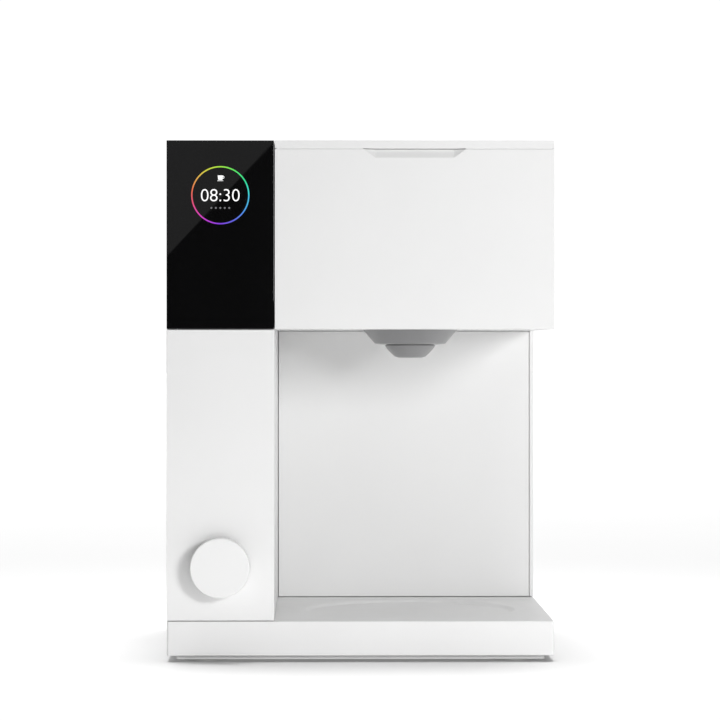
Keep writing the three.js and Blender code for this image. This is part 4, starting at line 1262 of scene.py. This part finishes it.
def populated_board(node: str, facing: Axis) -> Shape:
    """Builds a circuit board with chips and capacitors on its rear face.

    Args:
        node: The CAD board that gives its place.
        facing: The axis its faces look along.

    Returns:
        The board with its components.
    """
    board = Box.of(node)
    back = board.high.y
    parts = [slab(board, 0.2 * MM)]
    across, up = board.size.x, board.size.z
    rows = 5
    for row in range(rows):
        level = board.low.z + up * (row + 0.6) / rows
        chip = Vector((across * 0.28, 1.4 * MM, up * 0.08))
        middle = Vector((board.low.x + across * (0.32 + 0.12 * (row % 3)), back + 0.7 * MM, level))
        parts.append(slab(Box(middle - chip / 2, middle + chip / 2), 0.15 * MM))
        can = Vector((board.high.x - across * 0.14, 0, level))
        body = disc(across * 0.06, (back - 0.1 * MM, back + 2.6 * MM), can, facing, 32)
        parts.append(rounded(body, 0.2 * MM))
    return gathered(*parts)


# ---------------------------------------------------------------- head
@dataclass
class Head(SubAssembly):
    """The head's panels, the rear cover, the deck under the lid and the hinge cover."""

    edge: float = 0.4 * MM
    spout_hole: float = 29.1 * MM
    basket_hole: float = 51.6 * MM
    port_hole: float = 6.3 * MM
    slots: int = 7
    slot_pitch: float = 8 * MM
    slot_height: float = 3 * MM
    slot_half: float = 32 * MM
    slot_rise: float = 20 * MM
    port_bore: float = 2.8 * MM

    def build(self) -> None:
        """Builds the head's shapes."""
        front = softened("head_front_panel", 0.2 * MM, sharper_than=15)
        self.add("head_front", front, SHELL, "head_front_panel")
        self.add("right_side", softened("right_side_panel", self.edge), SHELL, "right_side_panel")
        self.add("recess_back", slab(Box.of("back_panel"), self.edge), SHELL, "back_panel")
        self.add("vented_rear_cover", self.rear_cover(), SHELL, "rear_cover")
        self.add("head_underside", self.underside(), SHELL, "head_floor")
        self.add("brew_deck", self.deck(), SHELL, "head_deck")
        self.add("hinge_strip", softened("hinge_cover", 0.3 * MM), SHELL, "hinge_cover")
        self.add("lid_pin", hinge_pin("lid_hinge_pin"), STEEL_FLAT, "lid_hinge_pin")
        self.add("hot_water_port", self.port(), DARK, "water_port")

    def rear_cover(self) -> Shape:
        """Builds the rear cover with its row of vents and the inlet's hole."""
        box = Box.of("rear_cover")
        inlet = Box.of("power_inlet").grown(0.3 * MM, 0, 0.3 * MM)
        through = (box.low.y - 1 * MM, box.high.y + 1 * MM)
        cutters = [block(Box.between((inlet.low.x, inlet.high.x), through, (inlet.low.z, inlet.high.z)))]
        first = Box.of("head_floor").low.z + self.slot_rise
        middle = box.centre.x
        for index in range(self.slots):
            level = first + index * self.slot_pitch
            slot = Box.between((middle - self.slot_half, middle + self.slot_half), through,
                               (level, level + self.slot_height))
            cutters.append(slot_cutter(slot))
        return rounded(combined(block(box), cutters, Join.CUT), self.edge)

    def underside(self) -> Shape:
        """Builds the head's underside with the spout's round hole."""
        box = Box.of("head_floor")
        ends = (box.low.z - 1 * MM, box.high.z + 1 * MM)
        hole = disc(self.spout_hole, ends, Box.of("outlet_cone").centre, steps=128)
        return combined(slab(box, self.edge), [hole], Join.CUT)

    def deck(self) -> Shape:
        """Builds the deck with the basket's and the water port's holes."""
        box = Box.of("head_deck")
        ends = (box.low.z - 1 * MM, box.high.z + 1 * MM)
        basket = disc(self.basket_hole, ends, Box.of("brew_basket").centre, steps=144)
        port = disc(self.port_hole, ends, Box.of("water_port").centre)
        return rounded(combined(block(box), [basket, port], Join.CUT), self.edge)

    def port(self) -> Shape:
        """Builds the flanged tube that brings hot water up to the lid."""
        box = Box.of("water_port")
        tube, flange = self.port_hole - 0.3 * MM, box.size.x / 2
        under_deck = Box.of("brew_well").high.z
        profile = [(self.port_bore, box.low.z), (tube, box.low.z), (tube, under_deck - 2.4 * MM),
                   (flange, under_deck - 2.4 * MM), (flange, under_deck), (tube, under_deck),
                   (tube, box.high.z), (self.port_bore, box.high.z), (self.port_bore, box.low.z)]
        return rounded(turned(profile, box.centre, steps=72), 0.3 * MM)


def slot_cutter(box: Box) -> Shape:
    """Makes a cutter for a slot with round ends."""
    shape = block(box)
    ends = [edge for edge in shape.edges
            if abs((edge.verts[0].co - edge.verts[1].co).normalized().y) > 0.9]
    bmesh.ops.bevel(shape, geom=ends, offset=box.size.z * 0.499, offset_type="OFFSET", segments=8,
                    profile=0.5, affect="EDGES", material=-1)
    return shape


def hinge_pin(node: str) -> Shape:
    """Builds a round pin with chamfered ends, along X, where a CAD pin lies."""
    box = Box.of(node)
    radius = box.size.z / 2
    chamfer = 0.3 * MM
    profile = [(0, box.low.x), (radius - chamfer, box.low.x), (radius, box.low.x + chamfer),
               (radius, box.high.x - chamfer), (radius - chamfer, box.high.x), (0, box.high.x)]
    return turned(profile, box.centre, Axis.X, steps=32)


@dataclass
class Lid(SubAssembly):
    """The head's hinged lid, with the water guide and the shower plate under it."""

    edge: float = 0.2 * MM
    seam_depth: float = 0.3 * MM
    scoop_half: float = 30 * MM
    scoop_depth: float = 3.2 * MM
    guide_radius: float = 48 * MM
    arm_half: float = 9 * MM
    nipple_radius: float = 5 * MM
    hole_radius: float = 1.0 * MM

    def build(self) -> None:
        """Builds the lid's shapes."""
        self.add("lid_top", softened("lid_panel", self.edge), SHELL, "lid_panel", body="lid")
        self.add("lid_seal_strips", self.seal_strips(), SHELL, body="lid")
        self.add("lid_water_guide", self.guide(), DARK, "lid_liner", body="lid")
        self.add("shower_screen", self.shower(), STEEL_FLAT, "shower_plate", body="lid")

    def seal_strips(self) -> Shape:
        """Builds the two thin strips that close the lid's front seam beside the finger scoop."""
        lid = Box.of("lid_panel")
        gap = lid.low.z - Box.of("head_front_panel").high.z
        ys = (lid.low.y + self.seam_depth, lid.low.y + 2 * MM)
        zs = (lid.low.z - gap * 0.8, lid.low.z + 0.2 * MM)
        middle = lid.centre.x
        left = Box.between((lid.low.x + 1 * MM, middle - self.scoop_half), ys, zs)
        right = Box.between((middle + self.scoop_half, lid.high.x - 1 * MM), ys, zs)
        behind = (lid.low.y + self.scoop_depth, lid.low.y + self.scoop_depth + 1.5 * MM)
        scoop = Box.between((middle - self.scoop_half, middle + self.scoop_half), behind,
                            (lid.low.z - gap * 0.4, zs[1]))
        return gathered(block(left), block(right), block(scoop))

    def guide(self) -> Shape:
        """Builds the guide: a round plate, an arm to the port and a nipple over the port."""
        box = Box.of("lid_liner")
        port = Box.of("water_port").centre
        axis = Box.of("shower_plate").centre
        top = box.high.z
        bottom = top - 4.5 * MM
        plate = turned([(0, bottom), (self.guide_radius, bottom), (self.guide_radius, top), (0, top)], axis,
                       steps=128)
        arm = block(Box.between((axis.x - self.arm_half, axis.x + self.arm_half), (axis.y, box.high.y),
                                (bottom, top)))
        nipple = disc(self.nipple_radius, (box.low.z, top - 1 * MM), port)
        guide = combined(plate, [arm, nipple], Join.WELD)
        bore = disc(self.nipple_radius / 2, (box.low.z - 1 * MM, bottom + 2 * MM), port)
        return rounded(combined(guide, [bore], Join.CUT), 0.5 * MM)

    def shower(self) -> Shape:
        """Builds the shower plate with rings of fine holes round a centre one."""
        box = Box.of("shower_plate")
        radius = box.size.x / 2
        ends = (box.low.z - 1 * MM, box.high.z + 1 * MM)
        profile = [(0, box.low.z), (radius - 0.6 * MM, box.low.z), (radius, box.low.z + 0.6 * MM),
                   (radius, box.high.z), (0, box.high.z)]
        plate = turned(profile, box.centre, steps=128)
        holes = [disc(self.hole_radius, ends, box.centre, steps=12)]
        for ring, count in enumerate((6, 12, 18, 24), start=1):
            for step in range(count):
                angle = math.tau * step / count
                reach = radius * 0.205 * ring
                offset = Vector((math.cos(angle), math.sin(angle), 0)) * reach
                holes.append(disc(self.hole_radius, ends, box.centre + offset, steps=12))
        return combined(plate, [gathered(*holes)], Join.CUT)


# ---------------------------------------------------------------- brew parts
@dataclass
class BrewParts(SubAssembly):
    """The well, the basket with its filter and handle, and the spout with its drip stop."""

    rim_radius: float = 51 * MM
    top_radius: float = 46 * MM
    floor_radius: float = 40 * MM
    basket_wall: float = 1.6 * MM
    rim_height: float = 2.4 * MM
    drain_radius: float = 6 * MM
    well_clearance: float = 1.5 * MM
    stem_radius: float = 5 * MM
    neck_radius: float = 28.8 * MM
    lip_radius: float = 21.5 * MM
    nozzle_radius: float = 15.5 * MM
    tip_radius: float = 7 * MM
    nozzle_groove: float = 0.35 * MM
    valve_travel: float = 3.3 * MM
    steps: int = 144

    def build(self) -> None:
        """Builds the brew parts' shapes."""
        self.add("basket_well", self.well(), DARK, "brew_well")
        self.add("basket_cup", self.basket(), DARK, "brew_basket", body="basket")
        self.add("basket_ring_handle", self.handle(), STEEL_FLAT, "basket_handle", body="basket")
        axis = Box.of("brew_basket").centre
        self.add("filter_screen", self.screen(), WovenScreen(tuple(axis)), "mesh_filter", body="basket")
        self.add("filter_rim_band", self.filter_band(), STEEL_FLAT, body="basket")
        self.add("spout_cone", self.cone(), SPOUT, "outlet_cone")
        self.add("spout_nozzle", self.nozzle(), SPOUT, "drip_nozzle", body="drip_valve")
        self.add("spout_washer", self.washer(), SILICONE, "drip_washer", body="drip_valve")
        self.add("spout_return_spring", self.spring(), STEEL, "drip_spring")

    def well(self) -> Shape:
        """Builds the fixed well, flanged under the deck."""
        box = Box.of("brew_well")
        wall = self.rim_height
        inner = self.top_radius + self.well_clearance
        outer = inner + wall
        flange = box.size.x / 2
        floor = box.low.z + wall
        hole = self.stem_radius + 2 * MM
        profile = [(hole, box.low.z), (outer, box.low.z), (outer, box.high.z - wall),
                   (flange, box.high.z - wall), (flange, box.high.z), (inner, box.high.z), (inner, floor),
                   (hole, floor), (hole, box.low.z)]
        return rounded(turned(profile, box.centre, steps=self.steps), 0.5 * MM)

    def basket(self) -> Shape:
        """Builds the tapered basket with its flat rim and drain hole."""
        box = Box.of("brew_basket")
        top, rim, floor = box.high.z, box.high.z - self.rim_height, box.low.z + 2 * MM
        profile = [(self.drain_radius, box.low.z), (self.floor_radius, box.low.z), (self.top_radius, rim),
                   (self.rim_radius, rim), (self.rim_radius, top), (self.top_radius - self.basket_wall, top),
                   (self.floor_radius - self.basket_wall, floor), (self.drain_radius, floor),
                   (self.drain_radius, box.low.z)]
        return rounded(turned(profile, box.centre, steps=self.steps), 0.5 * MM)

    def handle(self) -> Shape:
        """Builds the flat ring handle with its two finger tabs."""
        box = Box.of("basket_handle")
        ends = (box.low.z, box.high.z)
        across = (box.centre.x - 12 * MM, box.centre.x + 12 * MM)
        tabs = slab(Box.between(across, (box.low.y, box.high.y), ends), 0.01 * MM, 4 * MM)
        ring = combined(disc(self.rim_radius, ends, box.centre, steps=self.steps), [tabs], Join.WELD)
        inside = disc(self.top_radius + 0.5 * MM, (ends[0] - 1 * MM, ends[1] + 1 * MM), box.centre,
                      steps=self.steps)
        return rounded(combined(ring, [inside], Join.CUT), 0.4 * MM, sharper_than=55)

    def filter_profile(self) -> tuple[float, float, float, float]:
        """Gives the filter's top and floor radii, and its rim and floor levels."""
        box = Box.of("mesh_filter")
        top = self.top_radius - self.basket_wall - 1.2 * MM
        floor = self.floor_radius - self.basket_wall - 1.5 * MM
        return top, floor, box.high.z, box.low.z

    def screen(self) -> Shape:
        """Builds the thin filter cup with a rounded foot."""
        top, floor, rim_z, floor_z = self.filter_profile()
        wall = 0.8 * MM
        bend = 3 * MM
        profile = [(0, floor_z), (floor - bend, floor_z), (floor - bend * 0.3, floor_z + bend * 0.3),
                   (floor + 0.3 * MM, floor_z + bend), (top, rim_z), (top - wall, rim_z),
                   (floor + 0.3 * MM - wall, floor_z + bend + wall * 0.3),
                   (floor - bend * 0.3 - wall * 0.7, floor_z + bend * 0.3 + wall * 0.7),
                   (floor - bend, floor_z + wall), (0, floor_z + wall)]
        return turned(profile, Box.of("mesh_filter").centre, steps=self.steps)

    def filter_band(self) -> Shape:
        """Builds the plain steel band inside the filter's rim."""
        top, _, rim_z, _ = self.filter_profile()
        inner = top - 1.3 * MM
        outer = top - 0.85 * MM
        low = rim_z - 5 * MM
        profile = [(inner - 0.4 * MM, low), (outer - 0.45 * MM, low), (outer, rim_z), (inner, rim_z),
                   (inner - 0.4 * MM, low)]
        return turned(profile, Box.of("mesh_filter").centre, steps=self.steps)

    def cone(self) -> Shape:
        """Builds the spout cone, recessed below for the nozzle."""
        box = Box.of("outlet_cone")
        head = Box.of("head_floor")
        shoulder = head.high.z + 0.3 * MM
        recess = box.low.z + 5.8 * MM
        bore = self.stem_radius + 0.3 * MM
        pocket = self.nozzle_radius + 0.7 * MM
        flange = box.size.x / 2
        profile = [(bore, recess), (pocket, recess), (pocket, box.low.z),
                   (self.lip_radius, box.low.z + 0.6 * MM), (self.neck_radius, head.low.z),
                   (self.neck_radius, shoulder), (flange, shoulder),
                   (flange, box.high.z), (bore, box.high.z), (bore, recess)]
        return rounded(turned(profile, box.centre, steps=self.steps), 0.5 * MM, segments=4)

    def nozzle(self) -> Shape:
        """Builds the drip-stop nozzle: a bowl under the cone and a hollow stem."""
        box = Box.of("drip_nozzle")
        low = box.low.z
        lip = Box.of("outlet_cone").low.z
        bore = self.stem_radius - 2 * MM
        bowl = self.nozzle_radius
        brim = lip - self.nozzle_groove
        neck = bowl - 1 * MM
        profile = [(bore, low), (self.tip_radius, low), (self.tip_radius + 2.5 * MM, low + 0.8 * MM),
                   (bowl - 3.8 * MM, low + 2.8 * MM), (bowl - 1.4 * MM, low + 5.4 * MM), (bowl, brim),
                   (neck, brim), (neck, lip + 1 * MM), (self.stem_radius, lip + 2.2 * MM),
                   (self.stem_radius, box.high.z), (bore, box.high.z), (bore, low)]
        return rounded(turned(profile, box.centre, steps=self.steps), 0.3 * MM, sharper_than=50)

    def washer(self) -> Shape:
        """Builds the soft washer round the stem."""
        box = Box.of("drip_washer")
        inner = self.stem_radius + 0.3 * MM
        outer = box.size.x / 2
        profile = [(inner, box.low.z), (outer, box.low.z), (outer, box.high.z), (inner, box.high.z),
                   (inner, box.low.z)]
        return rounded(turned(profile, box.centre, steps=72), 0.4 * MM)

    def spring(self) -> Shape:
        """Builds the return spring's coil."""
        box = Box.of("drip_spring")
        wire = 0.5 * MM
        turns = 4
        coil = self.stem_radius + 1.6 * MM
        low = box.low.z + wire
        rise = box.size.z - 2 * wire
        points = []
        for step in range(turns * 12 + 1):
            angle = math.tau * step / 12
            level = low + rise * step / (turns * 12)
            across, along = coil * math.cos(angle), coil * math.sin(angle)
            points.append(Vector((box.centre.x + across, box.centre.y + along, level)))
        return hose_along(points, wire, rings=3)

    def dress(self) -> None:
        """Finishes the pieces, and gives the spring a mesh of its own."""
        super().dress()
        box, washer = Box.of("drip_spring"), Box.of("drip_washer")
        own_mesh(bpy.data.objects["spout_return_spring"])


# ---------------------------------------------------------------- water tank
@dataclass
class WaterTank(SubAssembly):
    """The clear lift-out tank with its collar, lid, valve and dock."""

    wall: float = 2.2 * MM
    valve_radius: float = 7.5 * MM
    marks: int = 5

    def build(self) -> None:
        """Builds the tank's shapes."""
        tank = "water_tank"
        self.add("clear_tank", softened("water_tank", 0.5 * MM), CLEAR, "water_tank", body=tank, crease=30)
        self.add("tank_level_marks", self.level_marks(), DARK, body=tank)
        self.add("tank_rim_collar", softened("tank_collar", 0.3 * MM), SHELL, "tank_collar", body=tank)
        self.add("tank_hinge_pin", hinge_pin("tank_lid_pin"), STEEL_FLAT, "tank_lid_pin", body=tank)
        self.add("tank_outlet_valve", self.valve(), DARK, "tank_valve", body=tank)
        self.add("tank_cover", softened("tank_lid", 0.4 * MM), SHELL, "tank_lid", body="tank_lid")
        self.add("tank_dock_plate", softened("tank_dock", 0.3 * MM), DARK, "tank_dock")
        self.add("dock_ring_seal", self.seal(), SILICONE, "dock_seal")

    def level_marks(self) -> Shape:
        """Builds the raised level lines on the inside of the tank's left wall."""
        box = Box.of("water_tank")
        inside = box.low.x + self.wall
        middle = box.low.y + box.size.y * 0.72
        low = box.low.z + box.size.z * 0.2
        pitch = box.size.z * 0.14
        lines = []
        for mark in range(self.marks):
            half = 9 * MM if mark % 2 == 0 else 5 * MM
            level = low + pitch * mark
            xs = (inside - 0.1 * MM, inside + 0.3 * MM)
            ys = (middle - half, middle + half)
            zs = (level - 0.5 * MM, level + 0.5 * MM)
            lines.append(slab(Box.between(xs, ys, zs), 0.12 * MM))
        return gathered(*lines)

    def valve(self) -> Shape:
        """Builds the valve stub, open below, with a flange above and below the tank's floor."""
        box = Box.of("tank_valve")
        low, high = box.low.z, box.high.z
        floor = low + 6.5 * MM
        neck = self.valve_radius - 2.3 * MM
        flange = box.size.x / 2
        bore = 3.5 * MM
        profile = [(bore, low), (self.valve_radius, low), (self.valve_radius, floor - 0.3 * MM),
                   (neck, floor - 0.3 * MM), (neck, high - 1.7 * MM), (flange, high - 1.7 * MM),
                   (flange, high), (0, high), (0, floor - 1 * MM), (bore, floor - 1 * MM), (bore, low)]
        return rounded(turned(profile, box.centre, steps=72), 0.4 * MM)

    def seal(self) -> Shape:
        """Builds the ring seal in the dock."""
        box = Box.of("dock_seal")
        outer = box.size.x / 2
        inner = self.valve_radius + 0.3 * MM
        profile = [(inner, box.low.z), (outer, box.low.z), (outer, box.high.z), (inner, box.high.z),
                   (inner, box.low.z)]
        return rounded(turned(profile, box.centre, steps=72), 0.5 * MM)


# ---------------------------------------------------------------- water path and power
@dataclass
class WaterPath(SubAssembly):
    """The pump, flow meter, heater, hoses and power parts inside the rear body."""

    hose_radius: float = 4 * MM
    pump_radius: float = 16 * MM
    spigot: float = 8 * MM
    clamp_wall: float = 2.4 * MM
    ribs: int = 6

    def build(self) -> None:
        """Builds the water path's shapes."""
        self.add("pump_can", self.pump(), STEEL, "pump")
        self.add("pump_band_clamp", self.clamp(), DARK, "pump_clamp")
        self.add("flow_meter_body", self.meter(), DARK, "flow_meter")
        self.add("heater_block", self.heater(), CAST, "heater")
        self.add("thermal_switch", self.switch(), STEEL, "thermal_cutout")
        for node in ("hose_tank_to_meter", "hose_pump_to_heater", "hose_heater_to_port"):
            self.add(f"silicone_{node}", cad_shape(node), SILICONE, node, crease=60)
        self.add("power_circuit_board", populated_board("power_board", Axis.Y), BOARD, "power_board")
        self.add("inlet_socket", softened("power_inlet", 0.4 * MM), DARK, "power_inlet")

    def pump(self) -> Shape:
        """Builds the upright pump: a can with beads, and a spigot with a barb at each end."""
        box = Box.of("pump")
        low, high = box.low.z + self.spigot, box.high.z - self.spigot
        radius, tube = self.pump_radius, self.hose_radius
        bead = 0.8 * MM
        profile = [(0, box.low.z), (tube - 0.6 * MM, box.low.z), (tube, box.low.z + 2 * MM),
                   (tube - 0.6 * MM, box.low.z + 2.2 * MM), (tube - 0.6 * MM, low), (radius - 2 * MM, low),
                   (radius, low + 2 * MM)]
        for share in (0.16, 0.84):
            level = low + (high - low) * share
            profile += [(radius, level - 1.4 * MM), (radius - bead, level - 0.6 * MM),
                        (radius - bead, level + 0.6 * MM), (radius, level + 1.4 * MM)]
        profile += [(radius, high - 2 * MM), (radius - 2 * MM, high), (tube - 0.6 * MM, high),
                    (tube - 0.6 * MM, box.high.z - 2.2 * MM), (tube, box.high.z - 2 * MM),
                    (tube - 0.6 * MM, box.high.z), (0, box.high.z)]
        return rounded(turned(profile, box.centre), 0.3 * MM)

    def clamp(self) -> Shape:
        """Builds the clamp: a round band on a flat foot."""
        box = Box.of("pump_clamp")
        axis = Box.of("pump").centre
        ends = (box.low.z, box.high.z)
        inner = self.pump_radius + 0.3 * MM
        band = disc(inner + self.clamp_wall, ends, axis, steps=96)
        foot = block(Box(box.low, Vector((box.high.x, box.low.y + self.clamp_wall, box.high.z))))
        whole = combined(band, [foot], Join.WELD)
        bore = disc(inner, (ends[0] - 1 * MM, ends[1] + 1 * MM), axis, steps=96)
        return rounded(combined(whole, [bore], Join.CUT), 0.4 * MM)

    def meter(self) -> Shape:
        """Builds the flow meter: a drum with a seam, over its inlet spigot."""
        box = Box.of("flow_meter")
        drum = box.size.x / 2
        low = box.low.z + 6 * MM
        seam = (low + box.high.z) / 2
        tube = self.hose_radius
        profile = [(0, box.low.z), (tube - 0.5 * MM, box.low.z), (tube, box.low.z + 1.6 * MM), (tube, low),
                   (drum, low), (drum, seam - 0.5 * MM), (drum - 0.5 * MM, seam - 0.5 * MM),
                   (drum - 0.5 * MM, seam + 0.5 * MM), (drum, seam + 0.5 * MM), (drum, box.high.z),
                   (0, box.high.z)]
        return rounded(turned(profile, box.centre, steps=72), 0.3 * MM)

    def heater(self) -> Shape:
        """Builds the cast heater: a block with rib grooves in its faces and two spigots."""
        box = Box.of("heater")
        top = box.high.z - self.spigot
        body = Box(box.low, Vector((box.high.x, box.high.y, top)))
        depth = 1.2 * MM
        grooves = []
        for rib in range(self.ribs):
            x = box.low.x + box.size.x * (rib + 0.75) / (self.ribs + 0.5)
            for y in (box.low.y, box.high.y):
                grooves.append(block(Box.between((x - 2 * MM, x + 2 * MM), (y - depth, y + depth),
                                                 (box.low.z + 6 * MM, top - 6 * MM))))
        casting = combined(slab(body, 0.01 * MM, 6 * MM), grooves, Join.CUT)
        spigots = [disc(self.hose_radius, (top - 1 * MM, box.high.z), (body.centre.x + side * 15 * MM,
                                                                     body.centre.y, 0)) for side in (-1, 1)]
        return rounded(combined(casting, spigots, Join.WELD), 0.5 * MM, sharper_than=50)

    def switch(self) -> Shape:
        """Builds the thermal switch: a stepped cap on the heater's face."""
        box = Box.of("thermal_cutout")
        radius = box.size.x / 2
        step = (box.low.y + box.high.y) / 2
        profile = [(0, box.low.y), (radius, box.low.y), (radius, step), (radius * 0.7, step),
                   (radius * 0.7, box.high.y), (0, box.high.y)]
        return rounded(turned(profile, box.centre, Axis.Y, steps=64), 0.25 * MM)


def main() -> None:
    """Builds the brewer's sub-assemblies in order round the CAD frame, and dresses them."""
    logging.basicConfig(level=logging.INFO, format="%(message)s")
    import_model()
    Studio().set_up()
    assemblies = (BaseAssembly, Tower, Display, Knob, Head, Lid, BrewParts, WaterTank, WaterPath)
    for assembly in assemblies:
        part = assembly()
        part.build()
        part.dress()


if __name__ == "__main__":
    main()
